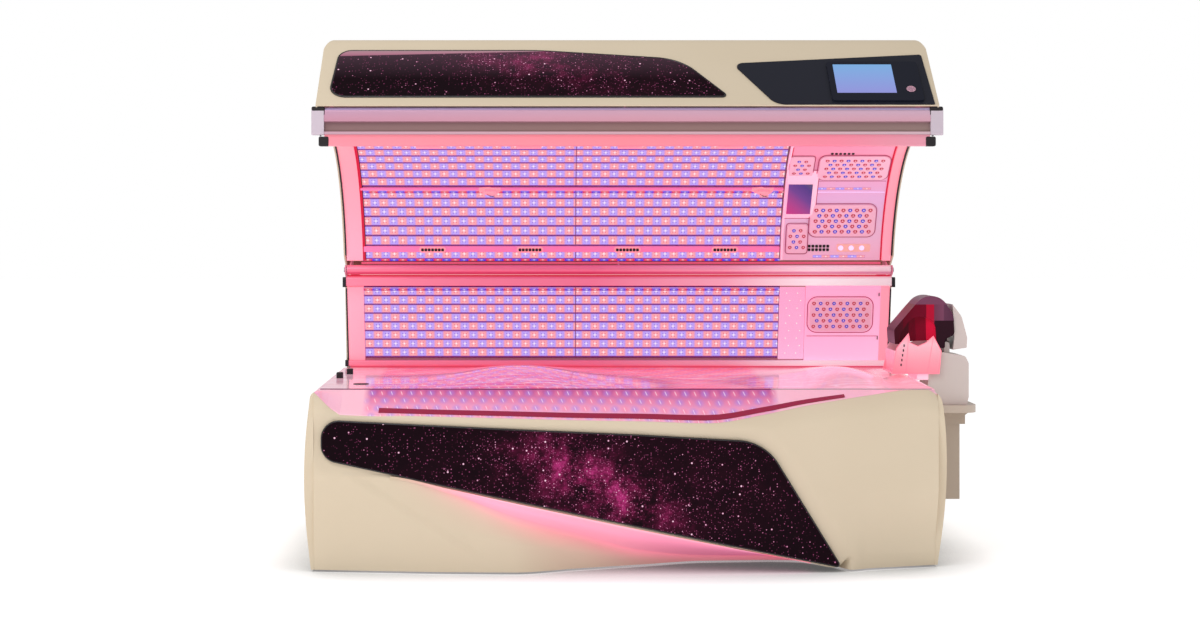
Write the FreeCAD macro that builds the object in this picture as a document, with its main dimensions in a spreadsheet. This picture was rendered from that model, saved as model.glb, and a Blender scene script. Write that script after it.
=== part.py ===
import FreeCAD, Part
import math
import os
import Sketcher
from FreeCAD import Placement, Rotation, Vector

# Clamshell tanning bed: a base with a contoured bench, a fixed side wall with the hinge line on top,
# a canopy that swings down over the bench, and an air nozzle at the head end.
# X runs along the bed (head end at +X), Y runs from the open front (-Y) to the back, Z is up.
# The origin is on the floor, under the middle of the bed.

doc = FreeCAD.newDocument("tanning_bed")
sheet = doc.addObject("Spreadsheet::Sheet", "sizes")
subparts = []

X_AXIS = Vector(1, 0, 0)
Y_AXIS = Vector(0, 1, 0)
Z_AXIS = Vector(0, 0, 1)


class Size:
    """A length or an angle, together with the spreadsheet formula that gives it."""

    def __init__(self, value, text):
        self.value = float(value)
        self.text = text

    def __add__(self, other):
        other = as_size(other)
        return Size(self.value + other.value, "(%s + %s)" % (self.text, other.text))

    def __radd__(self, other):
        return as_size(other) + self

    def __sub__(self, other):
        other = as_size(other)
        return Size(self.value - other.value, "(%s - %s)" % (self.text, other.text))

    def __rsub__(self, other):
        return as_size(other) - self

    def __mul__(self, other):
        other = as_size(other)
        return Size(self.value * other.value, "(%s * %s)" % (self.text, other.text))

    def __rmul__(self, other):
        return as_size(other) * self

    def __truediv__(self, other):
        other = as_size(other)
        return Size(self.value / other.value, "(%s / %s)" % (self.text, other.text))

    def __neg__(self):
        return Size(-self.value, "(0 - %s)" % self.text)


def as_size(item):
    """Take a plain number as a size that no cell drives."""
    if isinstance(item, Size):
        return item
    return Size(item, "(%r)" % float(item))


def sine(angle):
    return Size(math.sin(math.radians(angle.value)), "sin(%s)" % angle.text)


def cosine(angle):
    return Size(math.cos(math.radians(angle.value)), "cos(%s)" % angle.text)


def driving(alias, value, meaning):
    """Write one driving size into the sheet and give it back with its cell's name."""
    row = len(driving.rows) + 1
    driving.rows.append(alias)
    sheet.set("A%d" % row, meaning)
    sheet.set("B%d" % row, str(value))
    sheet.setAlias("B%d" % row, alias)
    return Size(value, "sizes." + alias)


driving.rows = []


def bind(target, path, size):
    """Tie one property of an object to its formula."""
    size = as_size(size)
    if "." not in path:
        setattr(target, path, size.value)
    if "sizes." in size.text:
        target.setExpression(path, size.text)


def place(target, at=(0, 0, 0), axis=X_AXIS, angle=0):
    """Put an object at a point, turned about one axis, with both tied to their formulas."""
    at = [as_size(item) for item in at]
    angle = as_size(angle)
    target.Placement = Placement(Vector(*[item.value for item in at]), Rotation(axis, angle.value))
    for letter, item in zip("xyz", at):
        bind(target, "Placement.Base." + letter, item)
    bind(target, "Placement.Rotation.Angle", angle)
    return target


def subpart(target, label):
    """Name an object as one finished piece of the bed."""
    target.Label = label
    subparts.append(target)
    return target


# --- Part primitives and booleans ---------------------------------------------------------------


def box(name, size, at=(0, 0, 0), axis=X_AXIS, angle=0):
    """A block of size (along X, Y, Z) with its lowest corner at the given point."""
    block = doc.addObject("Part::Box", name)
    for path, item in zip(("Length", "Width", "Height"), size):
        bind(block, path, item)
    return place(block, at, axis, angle)


AIM = {"x": (Y_AXIS, 90), "y": (X_AXIS, -90), "z": (Z_AXIS, 0)}


def rod(name, radius, length, at, aim="x"):
    """A round bar that starts at a point and runs along +X, +Y or +Z."""
    bar = doc.addObject("Part::Cylinder", name)
    bind(bar, "Radius", radius)
    bind(bar, "Height", length)
    return place(bar, at, *AIM[aim])


def cut(name, base, tool):
    result = doc.addObject("Part::Cut", name)
    result.Base = base
    result.Tool = tool
    return result


def common(name, first, second):
    result = doc.addObject("Part::Common", name)
    result.Base = first
    result.Tool = second
    return result


def joined(name, pieces):
    result = doc.addObject("Part::MultiFuse", name)
    result.Shapes = pieces
    return result


def group(name, pieces):
    """Separate solids that share one node."""
    result = doc.addObject("Part::Compound", name)
    result.Links = pieces
    return result


def tube(name, outer_radius, inner_radius, length, at, aim="x"):
    outer = rod(name + "_outside", outer_radius, length, at, aim)
    inner = rod(name + "_bore", inner_radius, length, at, aim)
    return cut(name, outer, inner)


# --- Sketches and bodies ------------------------------------------------------------------------


def origin_plane(body, role):
    return [item for item in body.Origin.OriginFeatures if item.Role == role][0]


def new_body(name):
    return doc.addObject("PartDesign::Body", name)


def new_sketch(body, plane, offset=0):
    """A sketch on one of the body's own planes, moved along the plane's normal by the offset."""
    flat = body.newObject("Sketcher::SketchObject", body.Name + "_sketch")
    flat.AttachmentSupport = [(origin_plane(body, plane), "")]
    flat.MapMode = "FlatFace"
    offset = as_size(offset)
    flat.AttachmentOffset = Placement(Vector(0, 0, offset.value), Rotation())
    bind(flat, "AttachmentOffset.Base.z", offset)
    return flat


def settle(flat, wanted):
    """Add constraints to a sketch in one go, each as (kind, references) or (kind, references, size)."""
    first = flat.ConstraintCount
    made = []
    for item in wanted:
        values = [as_size(size).value for size in item[2:]]
        made.append(Sketcher.Constraint(item[0], *item[1], *values))
    flat.addConstraint(made)
    for index, item in enumerate(wanted):
        if len(item) > 2 and "sizes." in as_size(item[2]).text:
            name = "given_%d" % (first + index)
            flat.renameConstraint(first + index, name)
            flat.setExpression("Constraints." + name, item[2].text)
    return flat


def fixed_point(geometry, position, across, up):
    """The two constraints that hold a point at its place from the sketch's origin."""
    return [
        ("DistanceX", (-1, 1, geometry, position), across),
        ("DistanceY", (-1, 1, geometry, position), up),
    ]


def outline(flat, corners):
    """Draw a closed outline through corners, each (across, up) or (across, up, corner radius)."""
    points = [Vector(as_size(item[0]).value, as_size(item[1]).value, 0) for item in corners]
    count = len(corners)
    arrive = []
    leave = []
    middle = []
    for index, corner in enumerate(points):
        radius = as_size(corners[index][2]).value if len(corners[index]) > 2 else 0
        back = (points[index - 1] - corner).normalize()
        ahead = (points[(index + 1) % count] - corner).normalize()
        half = back.getAngle(ahead) / 2
        reach = radius / math.tan(half)
        towards = (back + ahead).normalize()
        arrive.append(corner + back * reach)
        leave.append(corner + ahead * reach)
        middle.append(corner + towards * (radius / math.sin(half) - radius))
    sides = []
    for index in range(count):
        side = Part.LineSegment(leave[index], arrive[(index + 1) % count])
        sides.append(flat.addGeometry(side))
    wanted = []
    for index, corner in enumerate(corners):
        before = sides[index - 1]
        after = sides[index]
        if len(corner) == 2:
            wanted.append(("Coincident", (before, 2, after, 1)))
            wanted.extend(fixed_point(after, 1, corner[0], corner[1]))
            continue
        ahead = points[(index + 1) % count] - points[index]
        turn = (points[index] - points[index - 1]).cross(ahead)
        first, last, start, end = arrive[index], leave[index], 1, 2
        if turn.z < 0:
            first, last, start, end = last, first, 2, 1
        bend = flat.addGeometry(Part.Arc(first, middle[index], last))
        mark = flat.addGeometry(Part.Point(points[index]), True)
        wanted.append(("Tangent", (before, 2, bend, start)))
        wanted.append(("Tangent", (bend, end, after, 1)))
        wanted.append(("PointOnObject", (mark, 1, before)))
        wanted.append(("PointOnObject", (mark, 1, after)))
        wanted.append(("Radius", (bend,), corner[2]))
        wanted.extend(fixed_point(mark, 1, corner[0], corner[1]))
    return settle(flat, wanted)


def circle(flat, radius, across, up):
    centre = Vector(as_size(across).value, as_size(up).value, 0)
    ring = flat.addGeometry(Part.Circle(centre, Z_AXIS, as_size(radius).value))
    return settle(flat, [("Radius", (ring,), radius)] + fixed_point(ring, 3, across, up))


def pad(body, flat, length, backwards=False, both_ways=False):
    feature = body.newObject("PartDesign::Pad", body.Name + "_pad")
    feature.Profile = flat
    feature.Reversed = backwards
    feature.Midplane = both_ways
    bind(feature, "Length", length)
    flat.Visibility = False
    return feature


def pocket(body, flat, length, backwards=False, both_ways=False):
    """Cut a sketch into a body, and make sure that the cut takes something away."""
    doc.recompute()
    before = body.Shape.Volume
    feature = body.newObject("PartDesign::Pocket", body.Name + "_pocket")
    feature.Profile = flat
    feature.Reversed = backwards
    feature.Midplane = both_ways
    bind(feature, "Length", length)
    doc.recompute()
    if body.Shape.Volume > before - 1:
        raise ValueError(body.Name + ": the pocket cuts nothing")
    return feature


def repeat(body, feature, direction, length, count):
    """Repeat a feature in a row along one of the body's own axes."""
    row = body.newObject("PartDesign::LinearPattern", body.Name + "_row")
    row.Originals = [feature]
    row.Direction = (origin_plane(body, direction), [""])
    bind(row, "Length", length)
    row.Occurrences = count
    body.Tip = row
    return row


def plate(name, plane, corners, thickness, offset=0, backwards=False, both_ways=False):
    """One flat piece: an outline on a plane, padded to its thickness."""
    body = new_body(name)
    flat = outline(new_sketch(body, plane, offset), corners)
    pad(body, flat, thickness, backwards, both_ways)
    return body


def extrusion(name, corners, length, at_x=None):
    """A profile in the YZ plane, run along X: centred, or starting at at_x."""
    if at_x is None:
        return plate(name, "YZ_Plane", corners, length, both_ways=True)
    return plate(name, "YZ_Plane", corners, length, offset=at_x)


def lofted(name, sections):
    """A skin through closed sections, straight from each one to the next."""
    wires = []
    for section in sections:
        points = [Vector(*point) for point in section]
        wires.append(Part.makePolygon(points + [points[0]]))
    feature = doc.addObject("Part::Feature", name)
    feature.Shape = Part.makeLoft(wires, True, True)
    return feature


# --- Driving sizes, in millimetres and degrees --------------------------------------------------

base_length = driving("base_length", 2344, "base over its ends, at the floor and at the top")
end_bulge = driving("end_bulge", 24, "how far each end swells out at mid height")
end_sweep = driving("end_sweep", 2000, "radius of the swelling ends")
end_width = driving("end_width", 12, "end covers outside the skirt and the bench, at the top and foot")
end_round_left = driving("end_round_left", 24, "rounded upper edge of the left end cover")
end_round_right = driving("end_round_right", 50, "rounded upper edge of the right end cover")
base_back = driving("base_back", 625, "back of the base behind the centre line")
bow_reach = driving("bow_reach", 708, "front of the skirt at its foremost point")
bow_centre = driving("bow_centre", -200, "where along X the skirt stands foremost")
bow_radius = driving("bow_radius", 11000, "radius of the bowed front, seen from above")
floor_gap = driving("floor_gap", 8, "skirt above the floor")
shell_wall = driving("shell_wall", 6, "wall of the moulded skirt and covers")
panel_gap = driving("panel_gap", 0.4, "clearance around inserts and between covers")
bench_height = driving("bench_height", 669, "front edge of the bench above the floor")
bench_front = driving("bench_front", 538, "front edge of the bench ahead of the centre line")
bench_back = driving("bench_back", 372, "rear edge of the bench behind the centre line")
bench_rise = driving("bench_rise", 15, "rear edge of the bench above its front edge")
acrylic_wall = driving("acrylic_wall", 4, "thickness of the acrylic sheets")
bench_wall = driving("bench_wall", 8, "thickness of the bench acrylic")
strip_width = driving("strip_width", 32, "width of the bench's LED strips")
wall_strip_width = driving("wall_strip_width", 36, "width of the wall's LED strips")
canopy_strip_width = driving("canopy_strip_width", 41, "width of the canopy's LED strips")
strip_wall = driving("strip_wall", 3, "thickness of an LED strip")
sheet_wall = driving("sheet_wall", 2, "thickness of the folded sheet metal")

frame_height = driving("frame_height", 560, "top of the base frame")
frame_low = driving("frame_low", 45, "underside of the base frame")
frame_bar = driving("frame_bar", 40, "side of the square frame tubes")
frame_half = driving("frame_half", 1100, "frame tubes from the middle, along X")
frame_front = driving("frame_front", 380, "front frame tube ahead of the centre line")
frame_rear = driving("frame_rear", 560, "rear frame tube behind the centre line")
foot_radius = driving("foot_radius", 28, "levelling foot")
foot_wall = driving("foot_wall", 12, "height of the levelling foot's pad")
stem_radius = driving("stem_radius", 8, "threaded stem of the levelling foot")

unit_length = driving("unit_length", 2300, "wall and canopy over their ends")
wall_foot_y = driving("wall_foot_y", 375, "foot of the wall's face behind the centre line")
wall_foot_z = driving("wall_foot_z", 716, "foot of the wall's face above the floor")
wall_lean = driving("wall_lean", 14.25, "wall's face leaning over the bench")
wall_face = driving("wall_face", 322, "height of the wall's face along its lean")
wall_pitch = driving("wall_pitch", 38.5, "pitch of the wall's LED strips")
led_left = driving("led_left", 1070, "foot end of the LED field, from the middle")
led_right = driving("led_right", 676, "head end of the LED field, from the middle")
head_left = driving("head_left", 786, "foot side of the head panel")
head_right = driving("head_right", 1101, "head side of the head panel")
lamp_depth = driving("lamp_depth", 26, "reflector behind the acrylic")
lamp_seat = driving("lamp_seat", 0.8, "LED strips to the canopy's reflector behind them")
cheek_depth = driving("cheek_depth", 20, "cheeks behind the wall's face")

hinge_y = driving("hinge_y", 270, "hinge line behind the centre line")
hinge_z = driving("hinge_z", 1100, "hinge line above the floor")
hinge_radius = driving("hinge_radius", 10, "hinge pin")
hinge_play = driving("hinge_play", 0.05, "running clearance of the pins")
bracket_wall = driving("bracket_wall", 5.6, "thickness of the hinge brackets")
barrel_radius = driving("barrel_radius", 20, "hinge barrel outside")
open_angle = driving("open_angle", 40, "canopy from closed to open")

dome_y = driving("dome_y", -420, "centre of the canopy's curve, from the hinge along Y when closed")
dome_z = driving("dome_z", -520, "centre of the canopy's curve, from the hinge along Z when closed")
dome_radius = driving("dome_radius", 700, "inside of the canopy acrylic")
dome_rear = driving("dome_rear", 36, "rear end of the canopy's curve, from the vertical")
dome_front = driving("dome_front", -59, "front end of the canopy's curve, from the vertical")
dome_lamps = driving("dome_lamps", 730, "inside of the canopy's LED strips")
dome_pitch = driving("dome_pitch", 3.45, "angle from one canopy LED strip to the next")
rib_inner = driving("rib_inner", 735.8, "inside of the canopy ribs")
rib_outer = driving("rib_outer", 770, "outside of the canopy ribs")
rib_wall = driving("rib_wall", 5, "thickness of the canopy ribs")
rib_x = driving("rib_x", 1122, "end ribs from the middle, along X")
cheek_width = driving("cheek_width", 65, "width of the pink cheeks at the foot end")
rim_width = driving("rim_width", 6, "cream rim at each end of the canopy and wall")
seal_width = driving("seal_width", 6, "dark gasket inside the rim")

fascia_y = driving("fascia_y", -1137, "foot of the fascia, from the hinge along Y when closed")
fascia_z = driving("fascia_z", -138, "foot of the fascia, from the hinge along Z when closed")
fascia_height = driving("fascia_height", 434, "height of the fascia along its slope")
fascia_lean = driving("fascia_lean", 8.3, "fascia leaning back when closed")
fascia_wall = driving("fascia_wall", 4, "thickness of the panels on the fascia")
button_radius = driving("button_radius", 17, "start button")
button_travel = driving("button_travel", 3, "travel of the start button")

rail_y = driving("rail_y", -1059, "foot of the grip rail, from the hinge along Y when closed")
rail_z = driving("rail_z", -209, "foot of the grip rail, from the hinge along Z when closed")
rail_height = driving("rail_height", 100, "height of the grip rail")
rail_depth = driving("rail_depth", 45, "depth of the grip rail")
rail_half = driving("rail_half", 1120, "half the length of the grip rail between its caps")
cap_length = driving("cap_length", 46, "length of the grip rail's end caps")

crank_y = driving("crank_y", 65.8, "lift pin on the canopy, from the hinge along Y when closed")
crank_z = driving("crank_z", 23.9, "lift pin on the canopy, from the hinge along Z when closed")
lift_foot_y = driving("lift_foot_y", 160, "lower lift pin behind the hinge line")
lift_foot_z = driving("lift_foot_z", -340, "lower lift pin below the hinge line")
lift_x = driving("lift_x", 1098, "lifts from the middle, along X")
lift_pin = driving("lift_pin", 5, "radius of the lift pins")
lift_slack = driving("lift_slack", 3.6, "slack of the rod's eye on the canopy's pin")
lift_radius = driving("lift_radius", 14, "lift cylinder outside")
lift_rod = driving("lift_rod", 5, "lift rod")
lift_length = driving("lift_length", 190, "lift cylinder")

gland_x = driving("gland_x", 952, "cable gland from the middle, along X")
gland_z = driving("gland_z", 110, "cable gland above the floor")
gland_radius = driving("gland_radius", 12, "barrel of the cable gland")

fan_x = driving("fan_x", -620, "body fan from the middle, along X")
fan_z = driving("fan_z", 320, "body fan above the floor")
fan_radius = driving("fan_radius", 118, "fan blades")
fan_gap = driving("fan_gap", 4, "blade tips to the fan's ring")
fan_depth = driving("fan_depth", 46, "depth of the fan's ring")

tower_y = driving("tower_y", -70, "air nozzle ahead of the centre line")
tower_x = driving("tower_x", 1287, "carrier post from the middle, along X")
tower_post_width = driving("tower_post_width", 60, "carrier post")
tower_foot = driving("tower_foot", 194, "foot of the carrier post above the floor")
tray_top = driving("tray_top", 576, "top of the nozzle's tray above the floor")
tray_wall = driving("tray_wall", 30, "thickness of the nozzle's tray")
nozzle_pivot_x = driving("nozzle_pivot_x", 1290, "nozzle hood's pivot from the middle, along X")
nozzle_pivot_z = driving("nozzle_pivot_z", 812, "nozzle hood's pivot above the floor")
doc.recompute()

led_length = led_left + led_right
base_half = base_length / 2
skirt_half = base_half - end_width
bench_half = skirt_half
unit_half = unit_length / 2
profile_half = unit_half - rim_width - seal_width - panel_gap


# --- Frames of reference ------------------------------------------------------------------------


def on_canopy(target, along=0, local_y=0, local_z=0, lean=0):
    """Carry a piece drawn for the closed canopy up to the open pose, about the hinge line."""
    side = sine(open_angle)
    down = cosine(open_angle)
    y = hinge_y + local_y * down + local_z * side
    z = hinge_z - local_y * side + local_z * down
    return place(target, (along, y, z), X_AXIS, lean - open_angle)


def on_fascia(target):
    return on_canopy(target, 0, fascia_y, fascia_z, -fascia_lean)


def on_rail(target):
    return on_canopy(target, 0, rail_y, rail_z, open_angle_at_rest)


def on_wall(target, along=0, depth=0, up=0):
    """Stand a piece on the wall's leaning face: depth is behind the face, up is along its slope."""
    side = sine(wall_lean)
    rise = cosine(wall_lean)
    y = wall_foot_y + depth * rise - up * side
    z = wall_foot_z + depth * side + up * rise
    return place(target, (along, y, z), X_AXIS, wall_lean)


# The grip rail's sides stand upright when the canopy is fully open.
open_angle_at_rest = open_angle


def dome_sector(name, radius, length, at_x, rear, front):
    """A pie of the canopy's curve: a cylinder sector about the curve's centre line."""
    pie = doc.addObject("Part::Cylinder", name)
    bind(pie, "Radius", radius)
    bind(pie, "Height", length)
    bind(pie, "Angle", rear - front)
    upright = Rotation(Vector(1, 1, 1), 120)
    start = Rotation(X_AXIS, 90 - as_size(rear).value)
    at_x = as_size(at_x)
    pie.Placement = Placement(Vector(at_x.value, dome_y.value, dome_z.value), start * upright)
    bind(pie, "Placement.Base.x", at_x)
    bind(pie, "Placement.Base.y", dome_y)
    bind(pie, "Placement.Base.z", dome_z)
    return pie


def dome_panel(name, inner, outer, at_x, length, rear=dome_rear, front=dome_front):
    """A curved panel of the canopy, between two radii and two angles."""
    outside = dome_sector(name + "_outside", outer, length, at_x, rear, front)
    inside = dome_sector(name + "_inside", inner, length, at_x, rear, front)
    return cut(name, outside, inside)


def dome_block(name, radius, angle, size, at_x):
    """A flat block laid on the canopy's curve: size is (along X, along the curve, outwards)."""
    across = size[1] / 2
    y = dome_y + radius * sine(angle) - across * cosine(angle)
    z = dome_z + radius * cosine(angle) + across * sine(angle)
    return box(name, size, (at_x, y, z), X_AXIS, -angle)


# --- Base ---------------------------------------------------------------------------------------


def make_base_frame():
    """Welded square tube: two long frames, cross bars, posts and the bars under the bench."""
    pieces = []
    depth = frame_front + frame_rear + frame_bar
    start_y = -frame_front - frame_bar / 2
    levels = (("low", frame_low), ("top", frame_height - frame_bar))
    for level, z in levels:
        for side, y in (("front", -frame_front), ("rear", frame_rear)):
            length = frame_half * 2 + frame_bar
            corner = (-frame_half - frame_bar / 2, y - frame_bar / 2, z)
            pieces.append(box("%s_%s_bar" % (level, side), (length, frame_bar, frame_bar), corner))
        for number in range(5):
            x = frame_half * (number - 2) / 2
            corner = (x - frame_bar / 2, start_y, z)
            pieces.append(box("%s_cross_%d" % (level, number), (frame_bar, depth, frame_bar), corner))
    for number in range(3):
        for side, y in (("front", -frame_front), ("rear", frame_rear)):
            corner = (frame_half * (number - 1) - frame_bar / 2, y - frame_bar / 2, frame_low)
            height = frame_height - frame_low
            pieces.append(box("%s_post_%d" % (side, number), (frame_bar, frame_bar, height), corner))
    tab_start = frame_rear + frame_bar / 2
    tab_reach = base_back - sheet_wall - panel_gap - tab_start
    for number in range(6):
        x = frame_half * (number % 3 - 1) - frame_bar / 2
        z = frame_low if number < 3 else frame_height - frame_bar
        pieces.append(box("rear_tab_%d" % number, (frame_bar, tab_reach, 4), (x, tab_start, z)))
    subpart(joined("base_frame", pieces), "base_frame")


def make_levelling_feet():
    """Five screw feet: one under each corner post and one under the middle of the bed."""
    spots = [(0, 0)]
    for sign in (-1, 1):
        spots.append((frame_half * sign, -frame_front))
        spots.append((frame_half * sign, frame_rear))
    feet = []
    for number, (x, y) in enumerate(spots):
        sole = rod("foot_pad_%d" % number, foot_radius, foot_wall, (x, y, 0), "z")
        stem = rod("foot_stem_%d" % number, stem_radius, frame_low, (x, y, 0), "z")
        feet.append(joined("foot_%d" % number, [sole, stem]))
    subpart(group("levelling_feet", feet), "levelling_feet")


def face_at(x):
    """Depth of the bowed front at a place along X."""
    radius = bow_radius.value
    return radius - bow_reach.value - math.sqrt(radius ** 2 - (x - bow_centre.value) ** 2)


# The skirt's stops along X: top edge above the floor; how far the soft shoulder lies below that edge
# and how far the edge leans back from it; then, each as (back from the bowed front, above the floor),
# the ledge under the insert, the valley of the recess and its belly; and how far the foot stands
# back. A ledge of None follows the insert.
SKIRT_STOPS = [
    (-1160, 666, 60, 10, (0, 360), (4, 340), (4, 170), 21),
    (-1060, 588, 36, 8, (0, 370), (3, 345), (2, 175), 17),
    (-870, 583, 27, 7, None, (6, 345), (3, 180), 10),
    (-650, 578, 32, 8, None, (24, 290), (2, 150), 2),
    (-420, 573, 36, 9, None, (48, 205), (4, 112), 2),
    (-180, 567, 40, 9, None, (110, 130), (92, 66), 92),
    (54, 563, 44, 10, None, (172, 58), (170, 32), 171),
    (300, 555, 48, 12, None, (244, 26), (245, 16), 245),
    (520, 588, 62, 18, None, (248, 24), (249, 16), 249),
    (660, 616, 72, 22, None, (228, 22), (229, 15), 229),
    (770, 634, 76, 24, None, (116, 20), (118, 14), 120),
    (835, 644, 78, 25, (10, 60), (12, 42), (13, 25), 14),
    (900, 653, 80, 26, (31, 60), (33, 42), (34, 25), 36),
    (1060, 672, 84, 27, (58, 60), (61, 42), (64, 25), 67),
    (1120, 672, 84, 27, (67, 60), (70, 42), (73, 25), 77),
    (1160, 651, 74, 24, (73, 60), (76, 42), (79, 25), 84),
]
SKIRT_SPANS = 48
SKIRT_RIM = 7
GLOW_LEFT = -875
GLOW_RIGHT = 680

insert_left = driving("insert_left", -1130, "foot end of the skirt insert")
insert_foot_left = driving("insert_foot_left", 421, "lower left corner of the skirt insert")
insert_top_left = driving("insert_top_left", 563, "upper left corner of the skirt insert")
insert_tip_x = driving("insert_tip_x", 792, "tip of the skirt insert along X")
insert_tip_z = driving("insert_tip_z", 20, "tip of the skirt insert above the floor")
insert_shoulder_x = driving("insert_shoulder_x", 506, "shoulder of the skirt insert along X")
insert_shoulder_z = driving("insert_shoulder_z", 484, "shoulder of the skirt insert above the floor")
insert_wall = driving("insert_wall", 5, "thickness of the skirt insert")
doc.recompute()


def insert_corners(grow):
    """Outline of the skirt insert in the XZ plane, grown all round by a clearance."""
    return [
        (insert_left - grow, insert_top_left + grow, 64 + grow),
        (40, 512 + grow),
        (insert_shoulder_x + grow, insert_shoulder_z + grow, 184 + grow),
        (insert_tip_x + grow * 1.5, insert_tip_z - grow, 8),
        (insert_left - grow, insert_foot_left - grow, 62 + grow),
    ]


def insert_foot_at(x):
    """Height of the insert's straight lower edge at a place along X."""
    run = (x - insert_left.value) / (insert_tip_x.value - insert_left.value)
    return insert_foot_left.value + run * (insert_tip_z.value - insert_foot_left.value)


def smooth(stops, x):
    """A smooth line through stops, each (place, value), that never swings past them."""
    steps = [(after[1] - stop[1]) / (after[0] - stop[0]) for stop, after in zip(stops, stops[1:])]
    slopes = [steps[0]]
    for before, after in zip(steps, steps[1:]):
        slopes.append(2 * before * after / (before + after) if before * after > 0 else 0)
    slopes.append(steps[-1])
    for index, (stop, after) in enumerate(zip(stops, stops[1:])):
        if x <= after[0]:
            break
    span = after[0] - stop[0]
    run = (x - stop[0]) / span
    rest = 1 - run
    start = rest ** 2 * ((1 + 2 * run) * stop[1] + run * span * slopes[index])
    return start + run ** 2 * ((1 + 2 * rest) * after[1] - rest * span * slopes[index + 1])


def skirt_line(column, x, part=None):
    """One column of the skirt's stops at a place along X, or one part of a column of pairs."""
    stops = []
    for stop in SKIRT_STOPS:
        value = stop[column]
        if value is None:
            value = (0, insert_foot_at(stop[0]) - SKIRT_RIM)
        stops.append((stop[0], value if part is None else value[part]))
    return smooth(stops, x)


def skirt_places(left=None, right=None):
    """Even places along the skirt, or those between two ends together with the ends."""
    half = skirt_half.value
    places = [half * (2 * step / SKIRT_SPANS - 1) for step in range(SKIRT_SPANS + 1)]
    if left is None:
        return places
    return [left] + [x for x in places if left + 5 < x < right - 5] + [right]


def skirt_points(x):
    """The outside of the skirt at one place, from the top lip down to the foot."""
    face = face_at(x)
    top = skirt_line(1, x)
    shoulder = skirt_line(2, x)
    lean = skirt_line(3, x)
    points = [
        (x, face + lean, top),
        (x, face + lean * 0.45, top - shoulder * 0.35),
        (x, face + lean * 0.1, top - shoulder * 0.7),
        (x, face, top - shoulder),
    ]
    for column in (4, 5, 6):
        points.append((x, face + skirt_line(column, x, 0), skirt_line(column, x, 1)))
    points.append((x, face + skirt_line(7, x), floor_gap.value))
    return points


def make_front_skirt():
    """Moulded skirt with a bowed face, an opening for the insert and a recess sweeping under it."""
    sections = []
    for x in skirt_places():
        outside = skirt_points(x)
        inside = [(x, y + shell_wall.value, z) for x, y, z in reversed(outside)]
        sections.append(outside + inside)
    skin = lofted("skirt_skin", sections)
    opening = plate("skirt_opening", "XZ_Plane", insert_corners(panel_gap), 300, offset=500)
    subpart(cut("front_skirt", skin, opening), "front_skirt")


def bowed_slab(name, front, thickness):
    """A tall slab that follows the bowed front, set back from it by front."""
    angle = 16
    pieces = []
    for label, radius in (("_outside", bow_radius - front), ("_inside", bow_radius - front - thickness)):
        pie = doc.addObject("Part::Cylinder", name + label)
        bind(pie, "Radius", radius)
        bind(pie, "Height", bench_height)
        pie.Angle = angle
        middle = Vector(bow_centre.value, bow_radius.value - bow_reach.value, 0)
        pie.Placement = Placement(middle, Rotation(Z_AXIS, -90 - angle / 2))
        bind(pie, "Placement.Base.x", bow_centre)
        bind(pie, "Placement.Base.y", bow_radius - bow_reach)
        pieces.append(pie)
    return cut(name, pieces[0], pieces[1])


def make_skirt_insert():
    """Dark gloss panel, bowed like the skirt and flush in its opening."""
    blank = plate("insert_blank", "XZ_Plane", insert_corners(0), 300, offset=500)
    slab = bowed_slab("insert_slab", 1, insert_wall)
    subpart(common("skirt_insert", blank, slab), "skirt_insert")


def make_skirt_glow_panel():
    """Lit diffuser that lines the recess under the insert, from the ledge to the valley."""
    sections = []
    for x in skirt_places(GLOW_LEFT, GLOW_RIGHT):
        points = skirt_points(x)
        ledge = Vector(*points[4])
        valley = Vector(*points[5])
        slope = valley - ledge
        outward = Vector(0, slope.z, -slope.y).normalize()
        upper = ledge + slope * 0.04
        lower = ledge + slope * 0.94
        corners = [
            upper + outward * panel_gap.value,
            upper + outward * (panel_gap.value + acrylic_wall.value),
            lower + outward * (panel_gap.value + acrylic_wall.value),
            lower + outward * panel_gap.value,
        ]
        sections.append(corners)
    subpart(lofted("skirt_glow_panel", sections), "skirt_glow_panel")


def end_blank(name, sign, inset, rounding, front):
    """Solid of an end cover, drawn in from its outer faces by the inset."""
    inner = skirt_half + panel_gap - inset * 2
    middle = (bench_height + floor_gap) / 2
    top = bench_height - 1 - inset
    foot = floor_gap + inset
    swelling = plate(
        name + "_swelling",
        "XZ_Plane",
        [
            (inner * sign - rounding * sign, foot),
            ((base_half - inset) * sign, foot),
            ((base_half + end_bulge * 1.5 - inset) * sign, middle, end_sweep),
            ((base_half - inset) * sign, top, rounding),
            (inner * sign - rounding * sign, top),
        ],
        1600,
        both_ways=True,
    )
    lip, shoulder, foot_front = front
    side = extrusion(
        name + "_side",
        [
            (inset - lip[0], bench_height + 5),
            (base_back - inset, bench_height + 5),
            (base_back - inset, floor_gap - 5),
            (inset - foot_front, floor_gap - 5),
            (inset - shoulder[0], as_size(shoulder[1]), 150),
        ],
        base_half + end_bulge * 1.5 - inner,
        at_x=inner if sign > 0 else -base_half - end_bulge * 1.5,
    )
    return common(name, swelling, side)


def make_end_panel(label, sign, rounding, front):
    """End cover of the base: a dished moulding whose front edge follows the skirt's end."""
    outside = end_blank(label + "_outside", sign, as_size(0), rounding, front)
    inside = end_blank(label + "_inside", sign, shell_wall, rounding - shell_wall, front)
    pieces = [cut(label + "_dish", outside, inside)]
    start = frame_half + frame_bar / 2 + panel_gap
    rows = ((frame_low + frame_bar / 2, 0.19), (frame_height - frame_bar / 2, 0.5))
    for row, (z, share) in enumerate(rows):
        end = base_half + end_bulge * share
        for column, y in enumerate((-frame_front, frame_rear)):
            at = (start if sign > 0 else -end, y, z)
            pieces.append(rod("%s_boss_%d_%d" % (label, row, column), 11, end - start, at))
    subpart(joined(label, pieces), label)


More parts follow.
